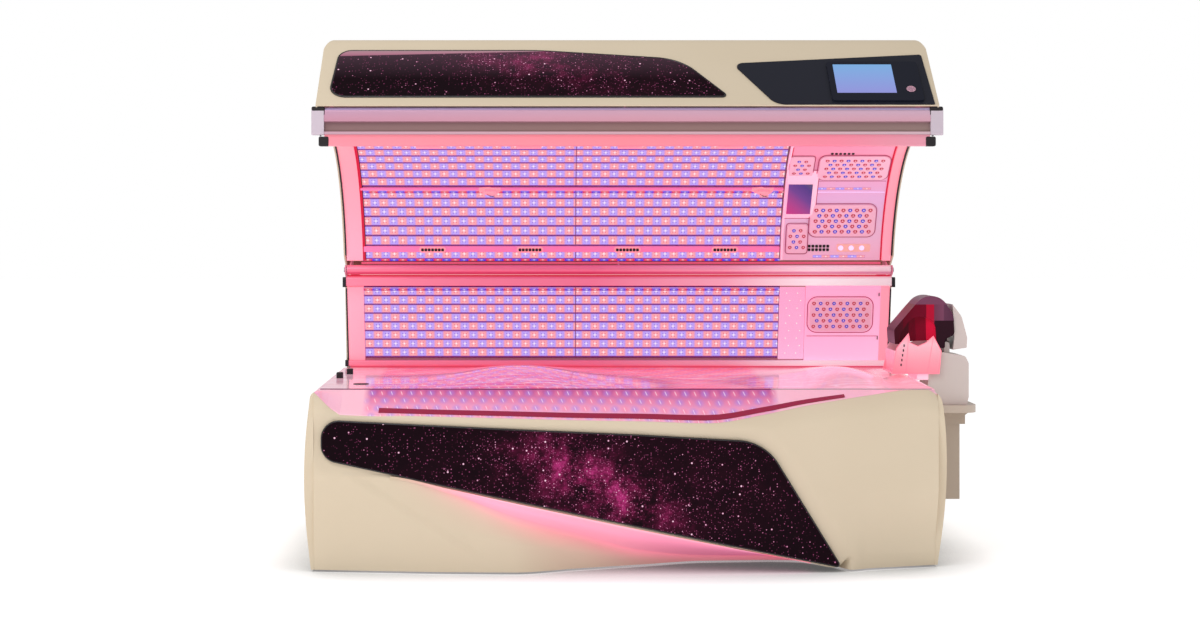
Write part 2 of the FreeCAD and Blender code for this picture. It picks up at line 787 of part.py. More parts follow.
def make_base_rear_panel():
    """Sheet steel back with two rows of louvre slots, one of them over the fan."""
    body = new_body("base_rear_panel")
    half = base_half - 13
    back = base_back - sheet_wall
    corners = [(-half, 12), (half, 12), (half, bench_height - 8), (-half, bench_height - 8)]
    pad(body, outline(new_sketch(body, "XZ_Plane", -back), corners), sheet_wall, backwards=True)
    louvre_row(body, back, base_half / 3, 110, 150, 11)
    louvre_row(body, back, fan_x, fan_radius * 0.85, fan_z - fan_radius * 0.75, 9)
    cable_hole = new_sketch(body, "XZ_Plane", -back)
    circle(cable_hole, gland_radius + 0.3, gland_x, gland_z)
    pocket(body, cable_hole, 40, both_ways=True)
    subpart(body, "base_rear_panel")


def louvre_row(body, back, middle, half, foot, count):
    """A stack of slots with rounded ends, one above the other."""
    width = 10
    slot = new_sketch(body, "XZ_Plane", -back)
    outline(
        slot,
        [
            (middle - half, foot, 4),
            (middle + half, foot, 4),
            (middle + half, foot + width, 4),
            (middle - half, foot + width, 4),
        ],
    )
    louvre = pocket(body, slot, 40, both_ways=True)
    repeat(body, louvre, "Z_Axis", 20 * (count - 1), count)
    doc.recompute()


def make_body_fan():
    """Axial fan behind the rear panel: ring with three struts and a motor, and its bladed rotor."""
    front = base_back - sheet_wall - fan_depth - panel_gap
    bore = fan_radius + fan_gap
    ring = tube("fan_ring", bore + 6, bore, fan_depth, (fan_x, front, fan_z), "y")
    motor = rod("fan_motor", 34, 14, (fan_x, front, fan_z), "y")
    pieces = [ring, motor]
    for number in range(3):
        angle = 90 + number * 120
        strut = box("fan_strut_%d" % number, (fan_radius + fan_gap + 3, 8, 10))
        turn = Rotation(Y_AXIS, angle)
        middle = Vector(fan_x.value, front.value, fan_z.value)
        strut.Placement = Placement(middle - turn.multVec(Vector(0, 0, 5)), turn)
        pieces.append(strut)
    pieces.append(rod("fan_shaft", 4, 34, (fan_x, front + 10, fan_z), "y"))
    subpart(joined("fan_housing", pieces), "fan_housing")
    hub_start = front + 16
    hub = rod("fan_hub", 34, 22, (fan_x, hub_start, fan_z), "y")
    blades = [hub]
    for number in range(7):
        turn = Rotation(Y_AXIS, number * 360 / 7)
        pitch = Rotation(X_AXIS, 35)
        blade = box("fan_blade_%d" % number, (fan_radius - 32, 30, 2.5))
        lowered = turn * pitch
        start = turn.multVec(Vector(31, 0, 0)) + lowered.multVec(Vector(0, -15, -1.25))
        middle = Vector(fan_x.value, hub_start.value + 11, fan_z.value)
        blade.Placement = Placement(middle + start, lowered)
        blades.append(blade)
    wheel = joined("fan_wheel", blades)
    limit = rod("fan_sweep", fan_radius, 22, (fan_x, hub_start, fan_z), "y")
    trimmed = common("fan_trimmed", wheel, limit)
    bore = rod("fan_bore", 4 + hinge_play, 60, (fan_x, hub_start - 10, fan_z), "y")
    subpart(cut("fan_rotor", trimmed, bore), "fan_rotor")


def make_bench():
    """Sheet metal tray, its LED strips and the contoured acrylic that the user lies on."""
    front = -bench_front + 30
    back = bench_back - 10
    half = base_half - 40
    height = bench_height - bench_wall - frame_height - 2.3
    outside = box("tray_outside", (half * 2, back - front, height), (-half, front, frame_height))
    hollow = box(
        "tray_hollow",
        (half * 2 - sheet_wall * 2, back - front - sheet_wall * 2, height),
        (-half + sheet_wall, front + sheet_wall, frame_height + sheet_wall),
    )
    subpart(cut("bench_tray", outside, hollow), "bench_tray")
    strips = []
    count = 20
    pitch = (back - front - strip_width - 20) / (count - 1)
    for number in range(count):
        corner = (-led_left, front + 10 + pitch * number, frame_height + sheet_wall)
        strips.append(box("bench_strip_%d" % number, (led_left * 2, strip_width, strip_wall), corner))
    subpart(group("bench_led_strips", strips), "bench_led_strips")
    make_bench_acrylic()


# Swells of the bench surface: middle along X, half width, and height above the plain bench.
BENCH_SWELLS = [(-410, 240, 42), (880, 130, 34), (330, 210, -14)]


def bench_surface(x, y):
    """Height of the bench's upper face: a gentle rise to the rear, with swells for the body."""
    depth = (y + bench_front.value) / (bench_front.value + bench_back.value)
    height = bench_height.value + depth * bench_rise.value
    for middle, width, swell in BENCH_SWELLS:
        height += swell * math.exp(-((x - middle) / width) ** 2) * math.sin(math.pi * depth) ** 0.8
    return height


def make_bench_acrylic():
    rows = []
    for step in range(25):
        x = -bench_half.value + step * bench_half.value / 12
        row = []
        for part in range(9):
            depth = bench_front.value + bench_back.value
            y = -bench_front.value + part * depth / 8
            row.append(Vector(x, y, bench_surface(x, y)))
        rows.append(row)
    surface = Part.BSplineSurface()
    surface.interpolate(rows)
    feature = doc.addObject("Part::Feature", "bench_acrylic")
    feature.Shape = surface.toShape().extrude(Vector(0, 0, -bench_wall.value))
    subpart(feature, "bench_acrylic")


def flange_line(x):
    """The clear apron's rear and front edges at one place along X, on its upper face."""
    rear = Vector(x, -bench_front.value - panel_gap.value, bench_height.value - 1)
    lip = face_at(x) + skirt_line(3, x) + shell_wall.value + panel_gap.value
    return rear, Vector(x, lip, skirt_line(1, x) - 1)


def make_bench_front_flange():
    """Clear apron from the front edge of the bench down to the skirt's lip."""
    drop = Vector(0, 0, -acrylic_wall.value)
    sections = []
    for x in skirt_places():
        rear, front = flange_line(x)
        sections.append([rear, front, front + drop, rear + drop])
    subpart(lofted("bench_front_flange", sections), "bench_front_flange")


def make_entry_edge_strip():
    """Grip strip along the apron, a hand's width behind the skirt's lip."""
    left = -920
    right = 812
    width = 26
    inset = 14
    sections = []
    for x in skirt_places(left, right):
        rear, front = flange_line(x)
        slope = (rear - front).normalize()
        outward = Vector(0, -slope.z, slope.y)
        low = front + slope * inset
        high = front + slope * (inset + width)
        near = outward * (panel_gap.value + 0.4)
        far = outward * (panel_gap.value + 3)
        sections.append([low + near, high + near, high + far, low + far])
    subpart(lofted("entry_edge_strip", sections), "entry_edge_strip")


def make_led_drivers():
    """Aluminium power packs on the lower cross bars."""
    drivers = []
    for column, x in enumerate((-frame_half / 2, frame_half / 2)):
        for row in range(3):
            corner = (x - 90, -260 + 200 * row, frame_low + frame_bar)
            drivers.append(box("driver_%d_%d" % (column, row), (180, 90, 48), corner))
    subpart(group("led_drivers", drivers), "led_drivers")


def make_mains_gland():
    """Cable gland in the rear panel, with its flange inside and its clamping nut outside."""
    start = base_back - sheet_wall - panel_gap - 4
    barrel = rod("gland_barrel", gland_radius, 36, (gland_x, start, gland_z), "y")
    flange = rod("gland_flange", gland_radius + 5, 4, (gland_x, start, gland_z), "y")
    nut = rod("gland_nut", gland_radius + 5, 9, (gland_x, base_back + panel_gap, gland_z), "y")
    bore = rod("gland_bore", 7, 36, (gland_x, start, gland_z), "y")
    subpart(cut("mains_gland", joined("gland_solid", [barrel, nut, flange]), bore), "mains_gland")


# --- Wall ---------------------------------------------------------------------------------------


def make_wall_frame():
    """Uprights from the base frame, two long bars, hinge brackets and the lifts' lower lugs."""
    pieces = []
    bar = 30
    bar_y = hinge_y + 170
    low_z = wall_foot_z - 26
    high_z = hinge_z - 115
    bracket = bracket_wall
    bracket_x = unit_half - rim_width - panel_gap - bracket
    for number in range(3):
        x = (number - 1) * 1060
        corner = (x - 20, bar_y, frame_height)
        pieces.append(box("upright_%d" % number, (40, bar, high_z + bar - frame_height), corner))
        foot_corner = (x - 20, bar_y, frame_height)
        pieces.append(box("upright_foot_%d" % number, (40, frame_rear - bar_y, 30), foot_corner))
    length = bracket_x * 2 + bracket * 2
    for level, z in (("low", low_z), ("high", high_z)):
        pieces.append(box("wall_bar_" + level, (length, bar, bar), (-length / 2, bar_y, z)))
    for number, (x, up, reach) in enumerate(((-1060, 12, 46), (0, 12, 46), (-1060, 250, 112), (0, 250, 112))):
        seat = box("reflector_seat_%d" % number, (30, reach, 8))
        pieces.append(on_wall(seat, x - 15, lamp_depth + sheet_wall + panel_gap, up))
    for sign in (-1, 1):
        start = bracket_x if sign > 0 else -bracket_x - bracket
        name = "hinge_bracket_%s" % ("right" if sign > 0 else "left")
        arm = extrusion(
            name + "_arm",
            [
                (hinge_y - 4, hinge_z - 17),
                (hinge_y + 8, hinge_z + 16),
                (bar_y + bar, high_z + bar),
                (bar_y + bar, high_z),
                (bar_y - 20, high_z),
            ],
            bracket,
            at_x=start,
        )
        eye = rod(name + "_eye", barrel_radius, bracket, (start, hinge_y, hinge_z))
        hole = rod(name + "_hole", hinge_radius + hinge_play, bracket, (start, hinge_y, hinge_z))
        pieces.append(cut(name, joined(name + "_solid", [arm, eye]), hole))
        for side in (-1, 1):
            lug_x = lift_x * sign + side * (lift_radius + 6) - 2.5
            pieces.append(lift_lug("lift_lug_%d_%d" % (sign, side), lug_x, bar_y, low_z + bar))
        pin_x = lift_x * sign - lift_radius - 8
        pin_at = (pin_x, hinge_y + lift_foot_y, hinge_z + lift_foot_z)
        pieces.append(rod("lift_lower_pin_%d" % sign, lift_pin, lift_radius * 2 + 16, pin_at))
    subpart(joined("wall_frame", pieces), "wall_frame")


def lift_lug(name, at_x, bar_y, foot_z):
    """Ear on the lower wall bar that carries one end of a lift's lower pin."""
    y = hinge_y + lift_foot_y
    z = hinge_z + lift_foot_z
    corners = [
        (y - 12, z - 12),
        (y - 12, z + 12),
        (bar_y + 24, z + 12),
        (bar_y + 24, foot_z - 4),
        (bar_y + 2, foot_z - 4),
    ]
    return extrusion(name, corners, 5, at_x=at_x)


def make_wall_shell():
    """Moulded rear cover of the wall, open towards the bench, with closed ends."""
    outer = [
        (hinge_y + 60, hinge_z - 74),
        (hinge_y + 125, hinge_z - 74),
        (hinge_y + 140, hinge_z - 38, 8),
        (hinge_y + 215, hinge_z - 38, 40),
        (hinge_y + 312, hinge_z - 140, 80),
        (base_back - 10, bench_height + 2),
        (wall_foot_y + 26, bench_height + 2),
        (wall_foot_y + 8, wall_foot_z),
    ]
    inner = [
        (hinge_y, hinge_z - 79),
        (hinge_y + 130, hinge_z - 79),
        (hinge_y + 145, hinge_z - 43, 6),
        (hinge_y + 212, hinge_z - 43, 36),
        (hinge_y + 307, hinge_z - 142, 76),
        (base_back - 15, bench_height - 20),
        (wall_foot_y - 30, bench_height - 20),
        (wall_foot_y - 30, wall_foot_z),
    ]
    outside = extrusion("wall_shell_outside", outer, unit_length)
    inside = extrusion("wall_shell_inside", inner, unit_length - rim_width * 2)
    skin = cut("wall_shell_skin", outside, inside)
    slots = []
    for sign in (-1, 1):
        corner = (lift_x * sign - 22, hinge_y + 40, hinge_z - 90)
        slots.append(box("lift_slot_%d" % sign, (44, 82, 40), corner))
        start = unit_half - rim_width - bracket_wall - panel_gap * 2
        width = bracket_wall + panel_gap * 2
        corner = (start if sign > 0 else -start - width, hinge_y + 40, hinge_z - 90)
        slots.append(box("bracket_slot_%d" % sign, (width, 112, 60), corner))
    subpart(cut("wall_rear_shell", skin, joined("lift_slots", slots)), "wall_rear_shell")


def make_wall_face():
    """Everything on the wall's leaning face: reflector, LED strips, acrylic, cheeks, head panel."""
    pan_start = -led_left - 4
    pan_length = led_length + 8
    pan = box("wall_reflector", (pan_length, sheet_wall, wall_face))
    subpart(on_wall(pan, pan_start, lamp_depth), "wall_reflector")
    strips = []
    count = 8
    for number in range(count):
        z = wall_face / 2 + wall_pitch * (number - (count - 1) / 2) - wall_strip_width / 2
        corner = (-led_left, lamp_depth - strip_wall, z)
        strips.append(box("wall_strip_%d" % number, (led_length, strip_wall, wall_strip_width), corner))
    subpart(on_wall(group("wall_led_strips", strips)), "wall_led_strips")
    clear = box("wall_acrylic", (led_left + head_left - panel_gap, acrylic_wall, wall_face))
    subpart(on_wall(clear, -led_left), "wall_acrylic")
    proud = 2
    left = box("wall_cheek_left", (profile_half - led_left - panel_gap, cheek_depth + proud, wall_face),
               (-profile_half, -proud, 0))
    right_start = head_right + panel_gap
    right = box("wall_cheek_right", (profile_half - right_start, cheek_depth + proud, wall_face),
                (right_start, -proud, 0))
    subpart(on_wall(group("wall_cheeks", [left, right])), "wall_cheeks")
    panel = box("wall_head_panel", (head_right - head_left, 16, wall_face))
    subpart(on_wall(panel, head_left), "wall_head_panel")


def lamp_plate(name, width, height, corner, rows, columns, pitch, dome):
    """A rounded plate studded with round lenses in staggered rows, lying in the XZ plane at y = 0."""
    corners = [(0, 0, corner), (width, 0, corner), (width, height, corner), (0, height, corner)]
    pieces = [plate(name + "_plate", "XZ_Plane", corners, 6)]
    first_x = (width - pitch * (columns - 1)) / 2
    first_z = (height - pitch * (rows - 1) * 0.9) / 2
    for row in range(rows):
        shift = pitch / 2 if row % 2 else 0
        for column in range(columns - row % 2):
            at = (first_x + shift + pitch * column, -8.5, first_z + pitch * 0.9 * row)
            pieces.append(rod("%s_lens_%d_%d" % (name, row, column), dome, 3, at, "y"))
    return joined(name, pieces)


array_width = driving("array_width", 266, "face lamp array along X")
array_height = driving("array_height", 146, "face lamp array across")
array_corner = driving("array_corner", 22, "corner radius of the face lamp arrays")
lens_pitch = driving("lens_pitch", 28, "pitch of the face lamp lenses")
lens_radius = driving("lens_radius", 9, "face lamp lens")
doc.recompute()


def make_wall_face_array():
    lamps = lamp_plate("wall_array", array_width, array_height, array_corner, 5, 9, lens_pitch, lens_radius)
    place(lamps, (head_left + 14, -panel_gap, 128))
    subpart(on_wall(group("wall_face_array", [lamps])), "wall_face_array")


def make_wall_profiles():
    """Aluminium extrusions above and below the wall's face."""
    face_top = wall_foot_z + wall_face * cosine(wall_lean) + cheek_depth * sine(wall_lean)
    seat = face_top + panel_gap
    top = [
        (hinge_y - 20, seat, 4),
        (hinge_y - 20, hinge_z - 27, 12),
        (hinge_y + 42, hinge_z - 27, 4),
        (hinge_y + 42, seat),
    ]
    subpart(extrusion("wall_top_profile", top, profile_half * 2), "wall_top_profile")
    foot = [
        (wall_foot_y - 24, wall_foot_z - 24, 8),
        (wall_foot_y - 24, wall_foot_z - 1, 4),
        (wall_foot_y + 16, wall_foot_z - 1),
        (wall_foot_y + 16, wall_foot_z - 24),
    ]
    subpart(extrusion("wall_bottom_profile", foot, profile_half * 2), "wall_bottom_profile")


def make_wall_black_trim():
    """Black moulded trim: profile end caps and the gaskets beside the cheeks."""
    pieces = []
    start = profile_half + panel_gap
    cap = unit_half + 2 - start
    for sign in (-1, 1):
        at_x = start if sign > 0 else -start - cap
        top = [
            (hinge_y - 22, hinge_z - 72),
            (hinge_y - 22, hinge_z - 30, 10),
            (hinge_y - 8, hinge_z - 30, 4),
            (hinge_y + 10, hinge_z - 52),
            (hinge_y + 30, hinge_z - 72),
        ]
        pieces.append(extrusion("cap_top_%d" % sign, top, cap, at_x=at_x))
        foot = [
            (wall_foot_y - 26, wall_foot_z - 26, 8),
            (wall_foot_y - 26, wall_foot_z + 1, 4),
            (wall_foot_y + 4, wall_foot_z + 1),
            (wall_foot_y + 4, wall_foot_z - 26),
        ]
        pieces.append(extrusion("cap_foot_%d" % sign, foot, cap, at_x=at_x))
        inner = unit_half - rim_width - seal_width
        seal_x = inner if sign > 0 else -inner - seal_width + panel_gap
        width = seal_width - panel_gap
        seal = box("wall_seal_%d" % sign, (width, 24, wall_face - 12), (seal_x, -4, 3))
        pieces.append(group("wall_seal_set_%d" % sign, [seal]))
        on_wall(pieces[-1])
    subpart(group("wall_black_trim", pieces), "wall_black_trim")


def make_hinge_pin():
    length = unit_length - 4
    subpart(rod("hinge_pin", hinge_radius, length, (-length / 2, hinge_y, hinge_z)), "hinge_pin")


# --- Canopy -------------------------------------------------------------------------------------


def make_canopy_frame():
    """Three curved ribs, cross tubes, and lugs that reach the hinge barrel and the lifts."""
    pieces = []
    rear = dome_rear + 2
    front = dome_front + 3
    for number in range(3):
        at_x = (number - 1) * rib_x - rib_wall / 2
        pieces.append(dome_panel("rib_%d" % number, rib_inner, rib_outer, at_x, rib_wall, rear, front))
        if number != 1:
            pieces.append(crank_plate("crank_%d" % number, at_x))
        else:
            pieces.append(middle_lug("middle_lug", at_x))
    for number, angle in enumerate((28, -12, -50)):
        radius = (rib_inner + rib_outer) / 2
        turn = math.radians(angle)
        y = dome_y + radius * math.sin(turn)
        z = dome_z + radius * math.cos(turn)
        pieces.append(rod("cross_tube_%d" % number, 14, rib_x * 2, (-rib_x, y, z)))
    for number in range(3):
        at_x = (number - 1) * 700 - 20
        pieces.append(rail_bracket("rail_bracket_%d" % number, at_x))
    pin = rib_x - lift_x + 10
    for sign in (-1, 1):
        at_x = rib_x - pin if sign > 0 else -rib_x
        pieces.append(rod("lift_upper_pin_%d" % sign, lift_pin, pin, (at_x, crank_y, crank_z)))
    subpart(on_canopy(joined("canopy_frame", pieces)), "canopy_frame")


def rail_bracket(name, at_x):
    """Flat arm from the front cross tube to the back of the grip rail."""
    side = sine(open_angle)
    rise = cosine(open_angle)
    back = rail_depth + panel_gap
    up = rail_height - 18
    y = rail_y + back * rise - up * side
    z = rail_z + back * side + up * rise
    return box(name, (40, 106, 12), (at_x, y, z), X_AXIS, open_angle)


def crank_plate(name, at_x):
    """End plate from the hinge barrel to the rib's foot, with the boss for the lift's pin."""
    corners = [
        (-barrel_radius * 0.75, barrel_radius * 0.7),
        (24, 78),
        (60, 98),
        (crank_y + 18, crank_z + 40),
        (crank_y + 16, crank_z - 6, 8),
        (crank_y - 4, crank_z - 16, 8),
        (barrel_radius * 0.75, barrel_radius * 0.7),
    ]
    blank = extrusion(name + "_blank", corners, rib_wall, at_x=at_x)
    clear = rod(name + "_clear", barrel_radius + panel_gap, rib_wall, (at_x, 0, 0))
    return cut(name, blank, clear)


def middle_lug(name, at_x):
    corners = [(-14, 14), (24, 78), (60, 98), (52, 62), (16, 12)]
    blank = extrusion(name + "_blank", corners, rib_wall, at_x=at_x)
    clear = rod(name + "_clear", barrel_radius + panel_gap, rib_wall, (at_x, 0, 0))
    return cut(name, blank, clear)


def make_hinge_barrel():
    """Round aluminium knuckle along the whole hinge line, turning on the hinge pin."""
    half = unit_half - rim_width * 2 - 4
    barrel = tube("barrel", barrel_radius, hinge_radius + hinge_play, half * 2, (-half, 0, 0))
    subpart(on_canopy(group("canopy_hinge_barrel", [barrel])), "canopy_hinge_barrel")


crown_top = driving("crown_top", 312, "top of the canopy shell above the hinge when closed")
shell_corner = driving("shell_corner", 130, "rounded upper corners of the canopy, from the front")
doc.recompute()


def shell_profile(inset):
    """Side view of the closed canopy shell; drawn in by its wall, it is open at the bottom."""
    lean_y = fascia_height * sine(fascia_lean)
    lean_z = fascia_height * cosine(fascia_lean)
    deep = inset * 30
    return [
        (fascia_y + inset - deep * sine(fascia_lean), fascia_z - deep),
        (fascia_y + lean_y + inset, fascia_z + lean_z - inset, 55),
        (dome_y - 200, crown_top + 12 - inset, 900),
        (dome_y + 270, crown_top - 22 - inset, 400),
        (104 - inset, 130 - inset, 12),
        (94 - inset - deep / 8, 72 - deep),
        (40, 60 - deep),
    ]


def make_canopy_shell():
    """Cream outer shell: front fascia, crowned top and closed ends, open towards the lamps."""
    deep_front = 26
    outside = extrusion("canopy_outside", shell_profile(as_size(0)), unit_length)
    front_view = plate(
        "canopy_front_view",
        "XZ_Plane",
        [
            (-unit_half - 2, -700),
            (-unit_half - 2, crown_top + 2, shell_corner),
            (0, crown_top + 30, 9000),
            (unit_half + 2, crown_top + 2, shell_corner),
            (unit_half + 2, -700),
        ],
        3000,
        both_ways=True,
    )
    solid = common("canopy_solid", outside, front_view)
    inside = extrusion("canopy_inside", shell_profile(shell_wall), unit_length - rim_width * 2)
    inner_view = plate(
        "canopy_inner_view",
        "XZ_Plane",
        [
            (-unit_half + rim_width, -800),
            (-unit_half + rim_width, crown_top - shell_wall, shell_corner - shell_wall),
            (0, crown_top + 28 - shell_wall, 9000),
            (unit_half - rim_width, crown_top - shell_wall, shell_corner - shell_wall),
            (unit_half - rim_width, -800),
        ],
        3000,
        both_ways=True,
    )
    hollow = common("canopy_hollow", inside, inner_view)
    skin = cut("canopy_skin", solid, hollow)
    whole_turn = (as_size(180), as_size(-180))
    mouth = dome_sector("canopy_mouth", dome_radius - 14, unit_length * 2, -unit_length, *whole_turn)
    rail_room = plate(
        "rail_room",
        "YZ_Plane",
        [
            (fascia_y - 60, fascia_z + 4),
            (fascia_y + deep_front + 60, fascia_z + 4),
            (fascia_y + deep_front + 200, fascia_z - 200),
            (fascia_y - 60, fascia_z - 200),
        ],
        unit_length * 2,
        both_ways=True,
    )
    room_depth = rail_depth + 9
    room_side = sine(open_angle)
    room_rise = cosine(open_angle)
    room_y = rail_y - room_rise * 4 + room_side * 60
    room_z = rail_z - room_side * 4 - room_rise * 60
    room_size = (unit_length * 2, room_depth, rail_height + 60)
    rail_slot = box("rail_slot", room_size, (-unit_length, room_y, room_z), X_AXIS, open_angle)
    tools = joined("canopy_openings", [mouth, rail_room, rail_slot])
    subpart(on_canopy(cut("canopy_top_shell", skin, tools)), "canopy_top_shell")


def make_fascia_panels():
    """Gloss panels, display and start button on the sloping front of the canopy."""
    seat = panel_gap
    insert = plate(
        "canopy_insert",
        "XZ_Plane",
        [
            (-1106, 52, 60),
            (-1086, 336, 52),
            (-330, 336, 1200),
            (205, 282, 200),
            (376, 52, 12),
        ],
        fascia_wall,
        offset=seat,
    )
    subpart(on_fascia(insert), "canopy_insert")
    panel = plate(
        "control_fascia",
        "XZ_Plane",
        [
            (unit_half - 16, 6, 4),
            (548, 6, 70),
            (404, 254, 24),
            (unit_half - 26, 310, 10),
        ],
        fascia_wall,
        offset=seat,
    )
    subpart(on_fascia(panel), "control_fascia")
    bezel_left = 757
    bezel_foot = 18
    bezel_width = 340
    bezel_height = 236
    bezel_wall = 8
    bezel_seat = seat + fascia_wall + panel_gap
    frame = plate(
        "bezel_blank",
        "XZ_Plane",
        [
            (bezel_left, bezel_foot, 12),
            (bezel_left, bezel_foot + bezel_height, 12),
            (bezel_left + bezel_width, bezel_foot + bezel_height, 12),
            (bezel_left + bezel_width, bezel_foot, 12),
        ],
        bezel_wall,
        offset=bezel_seat,
    )
    button_x = bezel_left + bezel_width - 42
    button_z = bezel_foot + 66
    front = bezel_seat + bezel_wall
    hole = rod("button_hole", button_radius + 0.3, 30, (button_x, -front - 5, button_z), "y")
    recess = box("screen_recess", (222, 3, 176), (bezel_left + 22, -front - 0.01, bezel_foot + 44))
    bezel = cut("display_bezel", frame, joined("bezel_cuts", [hole, recess]))
    subpart(on_fascia(bezel), "display_bezel")
    screen = box("screen", (220, 2, 174), (bezel_left + 23, -front + 0.9, bezel_foot + 45))
    subpart(on_fascia(group("display_screen", [screen])), "display_screen")
    length = bezel_wall + 1 - button_travel
    button = rod("button", button_radius, length, (button_x, -front - 1.5, button_z), "y")
    subpart(on_fascia(group("start_button", [button])), "start_button")


def make_grip_rail():
    """Aluminium front rail with a finger groove, its end caps and the lit lip below it."""
    rail = [
        (0, 0),
        (0, 10),
        (14, 12),
        (14, 46),
        (0, 48),
        (0, rail_height - 14, 5),
        (8, rail_height, 5),
        (rail_depth, rail_height),
        (rail_depth, 0),
    ]
    subpart(on_rail(extrusion("grip_rail", rail, rail_half * 2)), "grip_rail")
    cap = [
        (-2, -2, 6),
        (-2, rail_height - 4, 10),
        (rail_depth + 2, rail_height - 4, 6),
        (rail_depth + 2, -2, 6),
    ]
    left = extrusion("rail_cap_left", cap, cap_length, at_x=-rail_half - cap_length - panel_gap)
    right = extrusion("rail_cap_right", cap, cap_length, at_x=rail_half + panel_gap)
    subpart(on_rail(group("rail_end_caps", [left, right])), "rail_end_caps")
    lip = [
        (10, -42, 4),
        (10, -panel_gap),
        (20, -panel_gap),
        (20, -34),
        (56, -34),
        (56, -6),
        (62, -6),
        (62, -42),
    ]
    length = (rail_half - panel_gap) * 2
    subpart(on_rail(extrusion("canopy_lip", lip, length)), "canopy_lip")


# Angles on the canopy's curve, from the vertical: the two service bars, and the first and last LED
# strip of each run: one strip behind the air bar, six between the bars, the rest in front.
AIR_BAR_ANGLE = 32.0
NOZZLE_BAR_ANGLE = 9.1
STRIP_RUNS = [(33.9, 33.9), (29.2, 11.95), (6.6, -55.5)]


def make_canopy_lamps():
    """Reflector, LED strips and acrylic of the canopy, with the two service bars on the acrylic."""
    start = -led_left
    pan = dome_panel(
        "reflector",
        dome_lamps + strip_wall + lamp_seat,
        dome_lamps + strip_wall + lamp_seat + sheet_wall,
        start - 2,
        led_length + 4,
    )
    subpart(on_canopy(group("canopy_reflector", [pan])), "canopy_reflector")
    strips = []
    for first, last in STRIP_RUNS:
        count = 1 + round((first - last) / dome_pitch.value)
        for number in range(count):
            angle = first - dome_pitch * number
            size = (led_length, canopy_strip_width, strip_wall)
            strips.append(dome_block("canopy_strip_%d" % len(strips), dome_lamps, angle, size, start))
    subpart(on_canopy(group("canopy_led_strips", strips)), "canopy_led_strips")
    clear = dome_panel("clear", dome_radius, dome_radius + acrylic_wall, start, led_length)
    subpart(on_canopy(group("canopy_acrylic", [clear])), "canopy_acrylic")
    bars = []
    for name, angle in (("air_bar", AIR_BAR_ANGLE), ("nozzle_bar", NOZZLE_BAR_ANGLE)):
        size = (led_length - 8, as_size(24), as_size(8))
        bars.append(dome_block(name, dome_radius - 8.5, as_size(angle), size, start + 4))
    subpart(on_canopy(group("canopy_service_bars", bars)), "canopy_service_bars")


outlet_pitch = driving("outlet_pitch", 407, "pitch of the air outlets")
outlet_first = driving("outlet_first", -778, "first air outlet along X")
doc.recompute()


def make_air_outlets():
    """Four outlet plates on the air bar, each with a row of square ports."""
    outlets = []
    width = 104
    ports = 6
    for number in range(4):
        x = outlet_first + outlet_pitch * number - width / 2
        name = "outlet_%d" % number
        radius = dome_radius - 8.5 - panel_gap - 5
        blank = dome_block(name + "_blank", radius, as_size(AIR_BAR_ANGLE), (width, as_size(26), 5), x)
        holes = []
        for port in range(ports):
            at_x = x + 12 + port * 14
            size = (9, as_size(9), 20)
            port_name = "%s_port_%d" % (name, port)
            holes.append(dome_block(port_name, radius - 5, as_size(AIR_BAR_ANGLE), size, at_x))
        outlets.append(cut(name, blank, joined(name + "_ports", holes)))
    subpart(on_canopy(group("air_outlets", outlets)), "air_outlets")


def make_mist_nozzles():
    """Two aroma mist nozzles on the nozzle bar: a base plate with a stubby angled spout."""
    nozzles = []
    for number, x in enumerate((-533, 587)):
        name = "mist_%d" % number
        radius = dome_radius - 8.5 - panel_gap
        angle = as_size(NOZZLE_BAR_ANGLE)
        plate_block = dome_block(name + "_plate", radius - 6, angle, (96, as_size(26), 6), x - 48)
        angle = as_size(NOZZLE_BAR_ANGLE - 0.8)
        body = dome_block(name + "_body", radius - 22, angle, (64, as_size(36), 17), x - 32)
        nozzles.append(joined(name, [plate_block, body]))
    subpart(on_canopy(group("mist_nozzles", nozzles)), "mist_nozzles")


